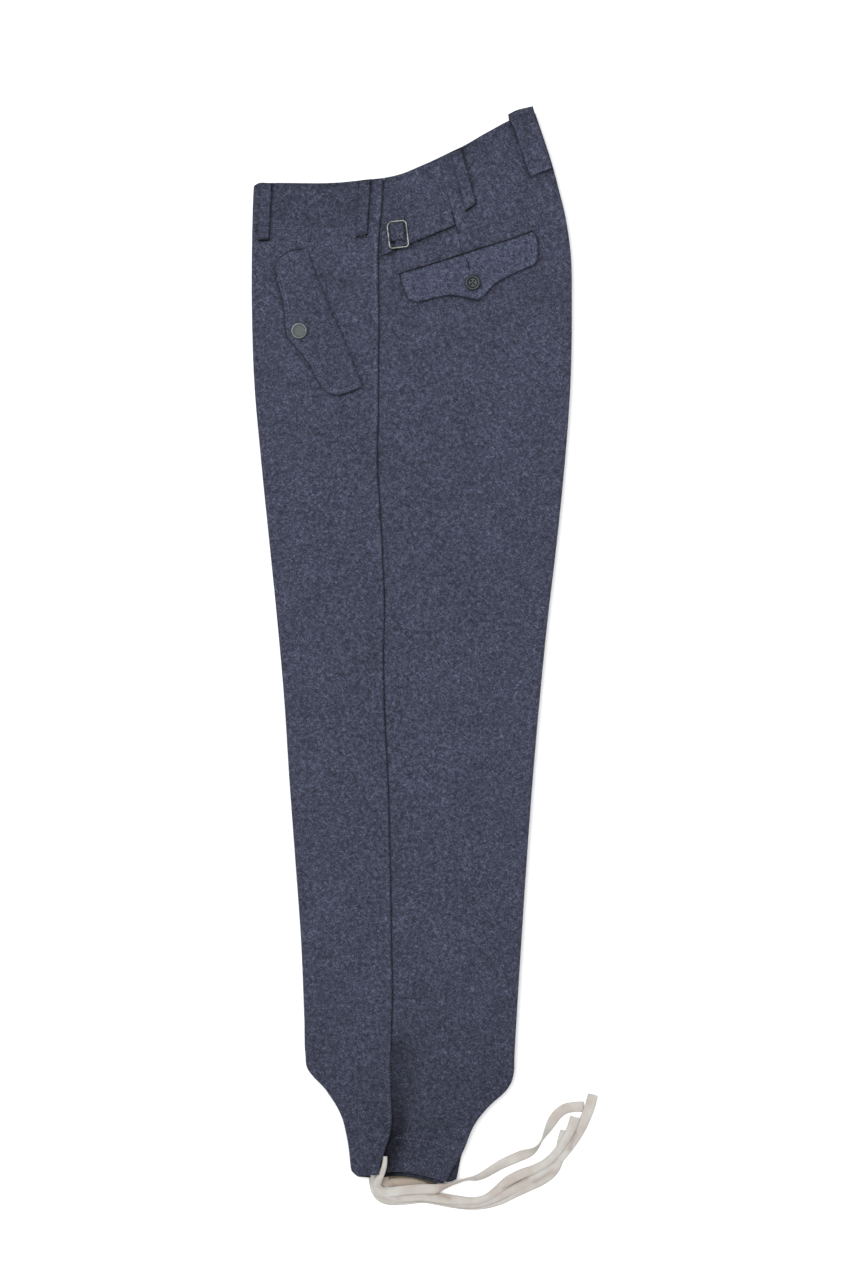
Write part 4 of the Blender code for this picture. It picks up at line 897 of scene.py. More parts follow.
def turned_button(name, solid, centre, profile, base_z, finish, slot, holes, painted_rim_light):
    """A round button from its profile, turned about its middle.

    Thread holes are wells in its face: the height falls by a soft step within the holes' radius. Its rim gets a
    painted highlight of the given strength, painted shade when that is below 0, most of all at the upper left,
    where the light comes from, and painted shade lies round its foot.
    """
    turn = np.linspace(0, 2 * math.pi, 72, endpoint=False)
    known = np.array(profile)
    way = way_along(known)
    at = np.linspace(0, way[-1], 90)[1:-1]
    radius = np.interp(at, way, known[:, 0])[:, None]
    height = np.interp(at, way, known[:, 1])[:, None] + 0 * turn
    x, y = radius * np.cos(turn), radius * np.sin(turn)
    on_face = (np.arange(len(at)) < len(at) // 2)[:, None]
    for hole in range(holes):
        angle = math.radians(45 + 90 * hole)
        reach = HOLE_OFFSET * math.sqrt(2)
        far = np.hypot(x - reach * math.cos(angle), y - reach * math.sin(angle))
        height = height - 1.1 * on_face * (1 - ramp(far, HOLE_RADIUS - 0.35, HOLE_RADIUS + 0.1))
    points = np.stack([x, y, height], axis=-1).reshape(-1, 3)
    poles = np.array([(0, 0, profile[0][1]), (0, 0, profile[-1][1])])
    index = np.arange(len(points)).reshape(len(at), len(turn))
    first, last = index[0], index[-1]
    tips = [
        np.stack([np.full_like(first, len(points)), first, np.roll(first, -1)], axis=-1),
        np.stack([np.full_like(last, len(points) + 1), np.roll(last, -1), last], axis=-1),
    ]
    points = np.concatenate([points, poles])
    out = np.hypot(points[:, 0], points[:, 1])
    lit = 0.5 + 0.5 * (points[:, 1] - points[:, 0]) / (np.maximum(out, 1.0) * math.sqrt(2))
    crest = bell(out - profile_crest(profile), 0.75)
    # Painted highlight on the rim's crest, strongest towards the light at the upper left, and painted shade round
    # the foot.
    toned = painted_rim_light * crest * (0.55 + 0.45 * lit) - 0.6 * ramp(out, 7.9, 8.4)
    points = points + np.array([*centre, base_z])
    return add_piece(
        name, points, [ring_faces(index, False)[:, ::-1], *tips], finish, slot, (solid,), shade=toned
    )


def profile_crest(profile):
    """The radius at which a button's profile is highest."""
    return max(profile, key=lambda row: row[1])[0]


def bent_wire(name, solid, radius, finish):
    """The buckle: one closed loop of round wire, a rounded four-sided line with a round section round it."""
    path = []
    for number, (sign_x, sign_y, bend) in enumerate(BUCKLE_BENDS):
        for step in np.linspace(0, math.pi / 2, 9):
            angle = math.pi / 2 * number + step
            path.append((
                sign_x * (BUCKLE_SIZE[0] / 2 - bend) + bend * math.cos(angle),
                sign_y * (BUCKLE_SIZE[1] / 2 - bend) + bend * math.sin(angle),
            ))
    cos, sin = math.cos(BUCKLE_TILT), math.sin(BUCKLE_TILT)
    path = np.array(path) @ np.array([[cos, sin], [-sin, cos]])
    along = np.roll(path, -1, axis=0) - np.roll(path, 1, axis=0)
    along /= np.linalg.norm(along, axis=1, keepdims=True)
    outwards = np.stack([along[:, 1], -along[:, 0]], axis=-1)
    around = np.radians(np.arange(0, 360, 30))
    flat = path[:, None, :] + radius * np.cos(around)[None, :, None] * outwards[:, None, :]
    x, y = flat[..., 0] + BUCKLE_CENTRE[0], flat[..., 1] + BUCKLE_CENTRE[1]
    z = np.broadcast_to(buckle_middle() + radius * np.sin(around), x.shape)
    points = np.stack([x, y, z], axis=-1).reshape(-1, 3)
    index = np.arange(x.size).reshape(x.shape)
    return add_piece(name, points, [ring_faces(index, True)], finish, "steel_wire", (solid,))


def buckle_middle():
    """Height of the buckle wire's middle: over the strap and the tab."""
    return seat_height(BUCKLE_CENTRE) + LIE_GAP + STRAP_THICKNESS + BUCKLE_LIFT + BUCKLE_WIRE


def tape_frame(route):
    """Centres along a tape's route, and its directions across its width and out of its face."""
    route = np.array(route, float)
    count = round(length_of(route) / TAPE_STEP) + 1
    placed = curve_through(route, np.linspace(0, 1, count))
    centre, tip = placed[:, :3], np.radians(placed[:, 3])
    reach = (TAPE_WIDTH * np.sin(tip) + TAPE_THICKNESS * np.cos(tip)) / 2
    centre[:, 2] = np.maximum(centre[:, 2], reach + TABLE_GAP)
    along = directions(centre)
    level = np.stack([-along[:, 1], along[:, 0], 0 * tip], axis=-1)
    level /= np.linalg.norm(level, axis=1, keepdims=True)
    rise = np.cross(along, level)
    wide = level * np.cos(tip)[:, None] + rise * np.sin(tip)[:, None]
    return centre, wide, np.cross(along, wide)


def curled(sideways, spread):
    """Where a tape's points lie when its section is bent to an arc whose chord is a share of the flat width.

    The arc's half angle a has sin(a) / a equal to the share; a point at s from the middle goes to sin(s a) / a
    across and to (cos(s a) - cos(a)) / a out of the face, both in half widths.
    """
    half_angle = np.sqrt(np.clip(6 * (1 - spread), 1e-6, None)) * (1 + 0.09 * (1 - spread))
    turned = sideways[None, :] * half_angle[:, None]
    across = np.sin(turned) / half_angle[:, None]
    lift = (np.cos(turned) - 1) / half_angle[:, None]
    return across, lift - lift.mean(axis=1, keepdims=True)




def woven_tape(name, solid, route, spreads, finish):
    """A flat tape with a rounded section, carried along its route; gives it with its path and length in metres.

    It is level or tipped on its edge, curls where it shows narrower than it is, and ripples lightly: a low wave
    along it that grows towards its sides.
    """
    centre, wide, out = tape_frame(route)
    spread = read_table(spreads, np.linspace(0, 1, len(centre)))
    around = np.radians(np.array([0, 35, 62, 78, 90, 102, 118, 145, 180, 215, 242, 258, 270, 282, 298, 325]))
    sideways = np.sign(np.cos(around)) * np.abs(np.cos(around)) ** 0.55 * TAPE_WIDTH * 0.485
    upwards = np.sign(np.sin(around)) * np.abs(np.sin(around)) ** 0.35 * TAPE_THICKNESS * 0.42
    way = way_along(centre)
    ripple = 0.10 * np.sin(way / 6.1 + 2 * np.sin(way / 37))[:, None] * (sideways / TAPE_WIDTH * 2)[None, :]
    across, lift = curled(sideways / (TAPE_WIDTH / 2), spread)
    points = (
        centre[:, None, :]
        + wide[:, None, :] * (across * TAPE_WIDTH / 2)[..., None]
        + out[:, None, :] * (upwards[None, :] + ripple + lift * TAPE_WIDTH / 2)[..., None]
    )
    sunk = np.clip(0.05 - points[..., 2].min(axis=1), 0, None)
    points[..., 2] += sunk[:, None]
    points[..., 2] = np.maximum(points[..., 2], 0.05)
    index = np.arange(points[..., 0].size).reshape(points.shape[:2])
    lengths = np.stack(np.broadcast_arrays(way[:, None], sideways[None, :]), axis=-1).reshape(-1, 2)
    faces = [ring_faces(index, False), index[:1, ::-1], index[-1:]]
    from_side = TAPE_WIDTH / 2 - np.abs(sideways)[None, :]
    # Painted shade along the fold lines, and a darker painted shade along both edges of the tape.
    shade = line_shade(points[..., 0], points[..., 1], TAPE_FOLD_SHADE) - 0.16 * (1 - ramp(from_side, 0.1, 1.0))
    made = add_piece(
        name, points.reshape(-1, 3), faces, finish, "cotton_tape", (solid,), along=lengths, shade=shade.ravel()
    )
    return made, ((centre + PLACE) * MM).tolist(), way[-1] * MM


def tape_hem(name, route, from_end, finish):
    """The line of stitches that holds a tape's turned end, across the tape."""
    centre, wide, _ = tape_frame(route)
    spot = len(centre) - 1 - round(from_end / TAPE_STEP)
    half = wide[spot] * TAPE_WIDTH * 0.42
    ends = [(centre[spot] - half)[:2], (centre[spot] + half)[:2]]
    height = centre[spot, 2] + TAPE_THICKNESS * 0.46
    return stitch_rows(name, [ends], 1.3, 0.8, 0.22, finish, None, lambda x, y: height + 0 * x)


def raised_seam(name, line, finish):
    """The ridge of a dart: its allowances pressed to one side, a low strip that falls off sharply at the seam."""
    line = curve_through(line, np.linspace(0, 1, 60))
    along = directions(line)
    across = np.stack([along[:, 1], -along[:, 0]], axis=-1)
    offsets = np.array([-5.6, -4.6, -3.2, -1.8, -0.7, -0.1, 0.35, 0.6])
    heights = np.array([-0.12, 0.14, 0.40, 0.52, 0.55, 0.40, 0.10, -0.16])
    fade = edge_share(np.minimum(np.arange(60), np.arange(60)[::-1]) / 3.0, 1.0)[:, None]
    x = line[:, :1] - across[:, :1] * offsets
    y = line[:, 1:] - across[:, 1:] * offsets
    top = cloth_top(x, y) + (heights + 0.2) * fade - 0.2
    under = cloth_top(x, y) - 0.5
    rim = np.ones_like(top)
    rim[0], rim[-1], rim[:, 0], rim[:, -1] = 0, 0, 0, 0
    top = np.where(rim > 0, top, cloth_top(x, y) - 0.3)
    # Painted highlight along the ridge's top and painted shade where it falls off at the seam.
    painted_light = np.array([0.0, 0.02, 0.06, 0.24, 0.34, -0.05, -0.60, -0.60]) + 0 * x
    return closed_sheet(
        name, np.stack([x, y, top], -1), np.stack([x, y, under], -1), finish, "wool_melton", turned=True,
        shade=painted_light,
    )


def hem_sides():
    """The outline of the back's turned hem, just below the back cloth."""
    shares = np.linspace(0.012, 0.97, 15)
    x, y = row_points(BACK, shares, np.full_like(shares, HEM))
    width = HEM_BAND_WIDTH * (1 - 0.5 * ramp(shares, 0.8, 0.97))
    upper = np.stack([x, y - SEAM_GAP], axis=-1)
    lower = np.stack([x, y - SEAM_GAP - width], axis=-1)
    return {
        "top": upper.tolist(),
        "right": [upper[-1].tolist(), lower[-1].tolist()],
        "bottom": lower.tolist(),
        "left": [upper[0].tolist(), lower[0].tolist()],
    }


def hem_middle(x, y):
    """Middle height of the turned hem, which bends down away from the cloth's edge."""
    hem_y = read_table(HEM_LINE, x)
    return leg_surface(x, hem_y) - VENT_STEP - WALL / 2 - HEM_BAND_FALL * (hem_y - y)






def lining_shade(x, y):
    """1 on the lining's olive edge, which is partly a facing and partly painted shadow inside the leg's opening, 0
    on its drill, with painted brown shade along the line between and in its fold.
    """
    rows = np.array(OLIVE_EDGE)
    above = y - np.interp(x, rows[:, 0], rows[:, 1])
    crumpled = 0.35 * bell(line_distance(x, y, [(-20.0, -566.0), (-6.0, -568.5)]), 1.6)
    return np.clip(ramp(above, -0.3, 0.5) + 0.5 * bell(above, 0.7) + crumpled, 0, 1)


def lining_middle(x, y):
    """Middle height of the lining, which lies between the two legs and hangs over the lower hem."""
    hem_y = read_table(LINING_EDGE, x)
    pucker = 0.18 * np.sin(x / 2.7 + 0.4 * np.sin(y / 3)) * ramp(hem_y - y, 2, 8)
    rolled = np.hypot((x + 1) / 19.0, (y + 565.5 + 0.06 * x) / 5.2)
    roll = 0.9 * bell(rolled - 0.85, 0.22) - 0.5 * bell(rolled, 0.6)
    return LINING_TOP - LINING_FALL * ramp(hem_y - y, -0.5, 6.5) + pucker + roll


def centre_loop_middle(x, y):
    """The centre-back loop bends down past the waist edge that it wraps over."""
    past = np.clip(y - read_table(WAIST_LINE, x), 0, None)
    lying_y = np.minimum(y, read_table(WAIST_LINE, x))
    return leg_surface(x, lying_y) + LIE_GAP + LOOP_THICKNESS / 2 - LOOP_OVERHANG_DROP * past**2


def linear(code):
    """The linear colour of an sRGB hex code."""
    channels = [int(code[start : start + 2], 16) / 255 for start in (1, 3, 5)]
    return tuple(c / 12.92 if c <= 0.04045 else ((c + 0.055) / 1.055) ** 2.4 for c in channels) + (1.0,)


def node(tree, kind, settings=(), inputs=(), links=()):
    """A shader node with its settings, its input values and its incoming links."""
    made = tree.nodes.new(kind)
    for key, value in dict(settings).items():
        setattr(made, key, value)
    for key, value in dict(inputs).items():
        made.inputs[key].default_value = value
    for key, source in dict(links).items():
        tree.links.new(source, made.inputs[key])
    return made


def new_material(name):
    """A material with an empty Principled shader, and its node tree."""
    made = bpy.data.materials.new(name)
    made.use_nodes = True
    return made, made.node_tree, made.node_tree.nodes["Principled BSDF"]


def noise(tree, where, scale, detail, rough):
    """A noise texture read at a place, as its value socket."""
    return node(
        tree,
        "ShaderNodeTexNoise",
        inputs={"Scale": scale, "Detail": detail, "Roughness": rough},
        links={"Vector": where},
    ).outputs["Fac"]


def stretched(tree, where, angle, scale):
    """The place turned about the vertical by an angle and scaled unevenly, for marks that run one way."""
    turned = node(
        tree, "ShaderNodeMapping", inputs={"Rotation": (0.0, 0.0, math.radians(angle))}, links={"Vector": where}
    )
    return node(
        tree, "ShaderNodeMapping", inputs={"Scale": scale}, links={"Vector": turned.outputs["Vector"]}
    ).outputs["Vector"]


def arithmetic(tree, operation, first, second, third=None, clamp=False):
    """One sum or product of sockets and numbers."""
    made = node(tree, "ShaderNodeMath", {"operation": operation, "use_clamp": clamp})
    for spot, value in enumerate((first, second, third)):
        if value is None:
            continue
        if isinstance(value, (int, float)):
            made.inputs[spot].default_value = value
        else:
            tree.links.new(value, made.inputs[spot])
    return made.outputs["Value"]


def melton_wool(name, dark, middle, light, nap):
    """Heathered, fulled wool: fibres of dark, middle and pale blue-grey felted together.

    Two grains of noise mix the dyed fibres, stretched noises in two directions lay single pale hairs over them,
    and a wide soft noise gives the cloud that handling leaves. The same values raise the nap.
    """
    made, tree, shader = new_material(name)
    where = node(tree, "ShaderNodeTexCoord").outputs["Object"]
    fine = noise(tree, where, 620.0, 2.0, 0.6)
    coarse = noise(tree, where, 230.0, 2.0, 0.55)
    cloud = noise(tree, where, 24.0, 3.0, 0.5)
    hairs_one = noise(tree, stretched(tree, where, 62.0, (820.0, 210.0, 500.0)), 1.0, 1.0, 0.5)
    hairs_two = noise(tree, stretched(tree, where, -38.0, (760.0, 190.0, 500.0)), 1.0, 1.0, 0.5)
    grain = arithmetic(tree, "MULTIPLY_ADD", fine, 0.62, arithmetic(tree, "MULTIPLY", coarse, 0.38))
    dyed = node(tree, "ShaderNodeValToRGB", links={"Fac": grain})
    stops = dyed.color_ramp.elements
    stops[0].position, stops[0].color = 0.34, linear(dark)
    stops[1].position, stops[1].color = 0.66, linear(light)
    centre = stops.new(0.50)
    centre.color = linear(middle)
    hairs = arithmetic(tree, "MAXIMUM", hairs_one, hairs_two)
    pale = node(
        tree,
        "ShaderNodeMapRange",
        {"interpolation_type": "SMOOTHSTEP"},
        {"From Min": 0.60, "From Max": 0.80, "To Min": 0.0, "To Max": 0.34},
        {"Value": hairs},
    ).outputs["Result"]
    haired = node(tree, "ShaderNodeMix", {"data_type": "RGBA"}, links={"Factor": pale, "A": dyed.outputs["Color"]})
    haired.inputs["B"].default_value = linear(nap)
    # The per-point map scales the colour by the garment's tone bands and its painted shade and highlights.
    tone_and_painted_light = node(tree, "ShaderNodeAttribute", {"attribute_name": "tone_and_painted_light"}).outputs["Fac"]
    patchy = noise(tree, where, 95.0, 2.0, 0.5)
    clouded = arithmetic(tree, "MULTIPLY_ADD", cloud, 0.34, 0.62)
    cloudy = arithmetic(tree, "MULTIPLY_ADD", patchy, 0.42, clouded)
    shade = arithmetic(tree, "ADD", cloudy, tone_and_painted_light)
    tinted = node(
        tree, "ShaderNodeVectorMath", {"operation": "SCALE"}, links={0: haired.outputs["Result"], "Scale": shade}
    )
    tree.links.new(tinted.outputs["Vector"], shader.inputs["Base Color"])
    raised = arithmetic(tree, "MULTIPLY_ADD", hairs, 0.5, grain)
    bump = node(
        tree, "ShaderNodeBump", inputs={"Strength": 0.55, "Distance": 0.0006}, links={"Height": raised}
    )
    tree.links.new(bump.outputs["Normal"], shader.inputs["Normal"])
    shader.inputs["Roughness"].default_value = 0.92
    shader.inputs["Specular IOR Level"].default_value = 0.12
    shader.inputs["Sheen Weight"].default_value = 0.12
    shader.inputs["Sheen Roughness"].default_value = 0.45
    shader.inputs["Sheen Tint"].default_value = linear("#AEB2C6")
    return made


def tape_cotton():
    """Bleached cotton twill tape, gone soft with use: fine slanting ribs, a few pinkish stains, a slubby yarn
    and painted brown shade where it folds.

    The ribs are drawn 1.5 mm apart, which is coarser than woven, so that they show at all.
    """
    made, tree, shader = new_material("bleached_cotton_twill_tape")
    chart = node(tree, "ShaderNodeTexCoord")
    ribs = node(
        tree,
        "ShaderNodeTexWave",
        {"wave_type": "BANDS", "bands_direction": "DIAGONAL", "wave_profile": "SIN"},
        {"Scale": 290.0, "Distortion": 0.6, "Detail": 1.0, "Detail Scale": 2.0},
        {"Vector": chart.outputs["UV"]},
    ).outputs["Fac"]
    stain = noise(tree, chart.outputs["Object"], 42.0, 3.0, 0.55)
    slub = noise(tree, stretched(tree, chart.outputs["UV"], 0.0, (160.0, 900.0, 1.0)), 1.0, 2.0, 0.5)
    tone = node(tree, "ShaderNodeValToRGB", links={"Fac": stain})
    stops = tone.color_ramp.elements
    stops[0].position, stops[0].color = 0.30, linear("#A0968F")
    stops[1].position, stops[1].color = 0.62, linear("#ADABA6")
    toned = node(
        tree,
        "ShaderNodeVectorMath",
        {"operation": "SCALE"},
        links={0: tone.outputs["Color"], "Scale": arithmetic(tree, "MULTIPLY_ADD", slub, 0.14, 0.92)},
    )
    # Painted shade: the colour turns brown along the fold lines and the tape's edges.
    fold = node(tree, "ShaderNodeAttribute", {"attribute_name": "tone_and_painted_light"}).outputs["Fac"]
    folded = node(
        tree, "ShaderNodeMix", {"data_type": "RGBA"},
        links={"Factor": arithmetic(tree, "MULTIPLY", fold, -1.0, clamp=True), "A": toned.outputs["Vector"]},
    )
    folded.inputs["B"].default_value = linear("#6E5A50")
    tree.links.new(folded.outputs["Result"], shader.inputs["Base Color"])
    height = arithmetic(tree, "MULTIPLY_ADD", ribs, 0.5, slub)
    bump = node(tree, "ShaderNodeBump", inputs={"Strength": 0.35, "Distance": 0.0003}, links={"Height": height})
    tree.links.new(bump.outputs["Normal"], shader.inputs["Normal"])
    shader.inputs["Roughness"].default_value = 0.85
    shader.inputs["Specular IOR Level"].default_value = 0.15
    shader.inputs["Sheen Weight"].default_value = 0.1
    return made


def lining_cotton():
    """Unbleached lining drill below an olive edge, partly a facing and partly painted shadow inside the leg's
    opening, which the lining's shade map marks.
    """
    made, tree, shader = new_material("olive_edged_lining_drill")
    chart = node(tree, "ShaderNodeTexCoord")
    tone_and_painted_light = node(tree, "ShaderNodeAttribute", {"attribute_name": "tone_and_painted_light"}).outputs["Fac"]
    colour = node(tree, "ShaderNodeMix", {"data_type": "RGBA"}, links={"Factor": tone_and_painted_light})
    # The olive is partly the facing's dye and partly painted shadow inside the leg's opening, with painted brown
    # shade.
    colour.inputs["A"].default_value = linear("#988C80")
    colour.inputs["B"].default_value = linear("#564E39")
    slub = noise(tree, stretched(tree, chart.outputs["UV"], 90.0, (250.0, 1100.0, 1.0)), 1.0, 2.0, 0.5)
    toned = node(
        tree,
        "ShaderNodeVectorMath",
        {"operation": "SCALE"},
        links={0: colour.outputs["Result"], "Scale": arithmetic(tree, "MULTIPLY_ADD", slub, 0.3, 0.85)},
    )
    tree.links.new(toned.outputs["Vector"], shader.inputs["Base Color"])
    bump = node(tree, "ShaderNodeBump", inputs={"Strength": 0.4, "Distance": 0.0003}, links={"Height": slub})
    tree.links.new(bump.outputs["Normal"], shader.inputs["Normal"])
    shader.inputs["Roughness"].default_value = 0.9
    return made


def drawn_wire():
    """Drawn and tinned steel wire, dulled by age: grey skin with bright scuffed spots."""
    made, tree, shader = new_material("tinned_steel_wire")
    where = node(tree, "ShaderNodeTexCoord").outputs["Object"]
    patches = noise(tree, where, 170.0, 2.0, 0.5)
    tone = node(tree, "ShaderNodeValToRGB", links={"Fac": patches})
    stops = tone.color_ramp.elements
    stops[0].position, stops[0].color = 0.36, linear("#51524F")
    stops[1].position, stops[1].color = 0.66, linear("#8A8B87")
    tree.links.new(tone.outputs["Color"], shader.inputs["Base Color"])
    gloss = node(
        tree, "ShaderNodeMapRange", inputs={"To Min": 0.46, "To Max": 0.28}, links={"Value": patches}
    )
    tree.links.new(gloss.outputs["Result"], shader.inputs["Roughness"])
    bump = node(tree, "ShaderNodeBump", inputs={"Strength": 0.15, "Distance": 0.0001}, links={"Height": patches})
    tree.links.new(bump.outputs["Normal"], shader.inputs["Normal"])
    shader.inputs["Metallic"].default_value = 0.9
    return made


def enamelled_metal(name, colour, worn_colour, gloss, grain):
    """Pressed metal under paint, or dark moulded plastic: an even skin, paler in small scuffed spots."""
    made, tree, shader = new_material(name)
    where = node(tree, "ShaderNodeTexCoord").outputs["Object"]
    spots = noise(tree, where, grain, 4.0, 0.62)
    tone = node(tree, "ShaderNodeValToRGB", links={"Fac": spots})
    stops = tone.color_ramp.elements
    stops[0].position, stops[0].color = 0.45, linear(colour)
    stops[1].position, stops[1].color = 0.72, linear(worn_colour)
    # The per-point map scales the colour: a painted highlight on the button's rim and painted shade round its
    # foot.
    tone_and_painted_light = node(tree, "ShaderNodeAttribute", {"attribute_name": "tone_and_painted_light"}).outputs["Fac"]
    painted_rim_light = node(
        tree, "ShaderNodeVectorMath", {"operation": "SCALE"},
        links={0: tone.outputs["Color"], "Scale": arithmetic(tree, "ADD", tone_and_painted_light, 1.0)},
    )
    tree.links.new(painted_rim_light.outputs["Vector"], shader.inputs["Base Color"])
    bump = node(tree, "ShaderNodeBump", inputs={"Strength": 0.2, "Distance": 0.0001}, links={"Height": spots})
    tree.links.new(bump.outputs["Normal"], shader.inputs["Normal"])
    shader.inputs["Roughness"].default_value = gloss
    shader.inputs["Specular IOR Level"].default_value = 0.3
    shader.inputs["Coat Weight"].default_value = 0.1
    shader.inputs["Coat Roughness"].default_value = 0.25
    return made


def spun_thread(name, colour, shadow):
    """Twisted sewing thread: two tones of one dye in small turns along it."""
    made, tree, shader = new_material(name)
    where = node(tree, "ShaderNodeTexCoord").outputs["Object"]
    twist = noise(tree, where, 1500.0, 1.0, 0.5)
    tone = node(tree, "ShaderNodeValToRGB", links={"Fac": twist})
    stops = tone.color_ramp.elements
    stops[0].position, stops[0].color = 0.35, linear(shadow)
    stops[1].position, stops[1].color = 0.65, linear(colour)
    tree.links.new(tone.outputs["Color"], shader.inputs["Base Color"])
    shader.inputs["Roughness"].default_value = 0.8
    shader.inputs["Specular IOR Level"].default_value = 0.12
    return made


def build_legs(wool):
    """The cloth of both legs, and the rows of stitches in it."""
    front = leg_cloth("front_cloth", FRONT, 44, wool, ("front_panel",))
    back = leg_cloth("back_cloth", BACK, 62, wool, ("back_panel",))
    lower = folded_tube("lower_leg", 0.8, 0.4, wool)
    flat_layer("upper_leg_inner_half", 1.2, 5.8, 0.9, 6.4, 8.4, wool)
    facing = flat_layer("upper_leg_facing", 2.5, 2.6, 0.7, 8.65, 10.15, wool, top_height=facing_top)
    hem = lying_cloth("turned_hem", "hem_band", hem_sides(), WALL, 1.6, wool, middle=hem_middle)
    return front, back, lower, facing, hem


def build_flap(name, solid, sides, free, sewn, wool, thread, pressed):
    """A pocket flap with its row of topstitches; gives the flap and the height of its face."""
    free_line, sewn_line = joined_sides(sides, free), joined_sides(sides, sewn)
    shape = flap_shape(free_line, sewn_line, TOPSTITCH_INSET)

    def face(x, y):
        return cloth_top(x, y) + LIE_GAP + FLAP_THICKNESS + shape(x, y)

    made = lying_cloth(
        name, solid, sides, FLAP_THICKNESS, 1.15, wool, shape=shape, rim=-0.75,
        shade=flap_shade(free_line, sewn_line, TOPSTITCH_INSET, pressed),
    )
    row = moved_left(free_line, TOPSTITCH_INSET)
    stitch_rows(name + "_topstitch", [row], 2.3, 0.9, 0.42, thread, None, lambda x, y: face(x, y) + 0.02)
    return made, face


def waist_stitch_line():
    """The row that holds the waist facing on the front, a set depth below the waist edge."""
    x = np.linspace(-157, -40, 40)
    return np.stack([x, read_table(WAIST_LINE, x) - WAIST_STITCH_DEPTH], axis=-1)





melton = melton_wool("melton_wool", "#1D1F27", "#303240", "#474A5B", "#737790")
# A lighter copy of the same wool, painted light for the back flap's nap, which catches more light.
melton_painted_lighter = melton_wool("melton_wool_painted_lighter", "#20222C", "#343747", "#4C5062", "#7B8099")
thread = spun_thread("blue_grey_sewing_thread", "#62667B", "#474A5B")
dark_thread = spun_thread("dark_sewing_thread", "#1B1C22", "#101116")
button_thread = spun_thread("waxed_button_thread", "#363C48", "#1C2028")
tape_thread = spun_thread("undyed_cotton_thread", "#C4B6A8", "#9A8C80")
cotton = tape_cotton()
painted = enamelled_metal("painted_pressed_metal", "#2F3536", "#414848", 0.45, 300.0)
moulded = enamelled_metal("dark_moulded_plastic", "#0B1317", "#182227", 0.2, 240.0)

front, back, lower, facing, hem = build_legs(melton)
# The last argument darkens each flap's sewn edge with painted shade, and below 0 takes back its rim's painted
# shade.
front_flap, front_face = build_flap(
    "front_flap", "front_pocket_flap", FRONT_FLAP, ("-top", "left", "bottom"), ("right",), melton, thread, -0.58
)
back_flap, back_face = build_flap(
    "back_flap", "back_pocket_flap", BACK_FLAP, ("left", "bottom", "-right"), ("top",), melton_painted_lighter, thread, 0.36
)

lining = lying_cloth(
    "ankle_lining", "leg_opening_lining", LINING_SIDES, LINING_THICKNESS, 1.0, lining_cotton(), "cotton_lining",
    middle=lining_middle, rim=0.0, shade=lining_shade,
)


def centre_loop_shade(x, y):
    """A painted highlight inside the centre loop's left edge, and painted shade under its row of stitches."""
    left = line_distance(x, y, joined_sides(CENTRE_BACK_LOOP, ("left",)))
    under = line_distance(x, y, [(124.6, 492.2), (136.0, 495.6), (147.2, 499.4)])
    return 0.24 * np.exp(-(((left - 2.6) / 0.8) ** 2)) - 0.35 * np.exp(-((under / 0.8) ** 2))


for node_name, corners in BELT_LOOPS.items():
    drop = FOOT_DROPS.get(node_name, 0.0)
    corners = [*corners[:2], *((x, y - drop) for x, y in corners[2:])]
    form = loop_shape(corners)
    sides = straight_sides(corners)
    (left_x, left_y), (right_x, right_y) = corners[3], corners[2]
    foot, left_edge = [corners[3], corners[2]], [corners[0], corners[3]]

    def toned(x, y, foot=foot, left_edge=left_edge):
        """Painted shade at the foot, where the loop dips under its bar tack, with a thin painted highlight above
        it, and less painted shade down its left edge.
        """
        from_foot = line_distance(x, y, foot)
        sunk = -0.30 * (1 - ramp(from_foot, 0.8, 2.2)) + 0.12 * np.exp(-(((from_foot - 3.2) / 0.8) ** 2))
        return sunk + 0.32 * (1 - ramp(line_distance(x, y, left_edge), 0.6, 2.2))

    lying_cloth(
        "belt_" + node_name, node_name, sides, LOOP_THICKNESS, 0.9, melton, shape=form, rim=-0.6, shade=toned
    )
    tack = [(left_x + 1.2, left_y + 3.3), (right_x - 1.2, right_y + 3.3)]
    stitch_rows(
        node_name + "_bar_tack", [tack], 1.5, 0.25, 0.5, dark_thread, None,
        lambda x, y, form=form: cloth_top(x, y) + LIE_GAP + LOOP_THICKNESS + form(x, y),
    )
lying_cloth(
    "belt_loop_centre", "loop_centre_back", CENTRE_BACK_LOOP, LOOP_THICKNESS, 0.9, melton,
    middle=centre_loop_middle, shade=centre_loop_shade,
)
knot_loop = BELT_LOOPS["loop_side"]
knot_form = loop_shape(knot_loop)
stitch_rows(
    "loop_side_knot",
    [[(-55.2, 427.6), (-52.4, 427.9)], [(-53.6, 428.9), (-50.9, 429.6)], [(-50.6, 428.4), (-47.4, 430.2)]],
    2.4, 0.1, 0.8, melton, "wool_melton",
    lambda x, y: cloth_top(x, y) + LIE_GAP + LOOP_THICKNESS + knot_form(x, y) - 0.1,
)
stitch_rows(
    "centre_loop_stitch", [CENTRE_LOOP_ROW], 2.0, 0.5, 0.42, thread, None,
    lambda x, y: centre_loop_middle(x, y) + LOOP_THICKNESS / 2,
)



def strap_shade(x, y):
    """The strap's lower edge stays dark, while its upper one is lit and its rim's shade is taken back."""
    return 0.90 * (1 - ramp(line_distance(x, y, CINCH_STRAP[:2]), 0.6, 2.2)) - 0.15 * np.exp(
        -((line_distance(x, y, CINCH_STRAP[2:]) / 2.0) ** 2)
    )


TAB_FOLD = [(-33.1, 420.4), (-28.0, 416.9), (-24.2, 415.1)]


def tab_shade(x, y):
    """Painted shade along a fold across the tab, as a bell along a line."""
    return -0.35 * np.exp(-((line_distance(x, y, TAB_FOLD) / 0.9) ** 2))


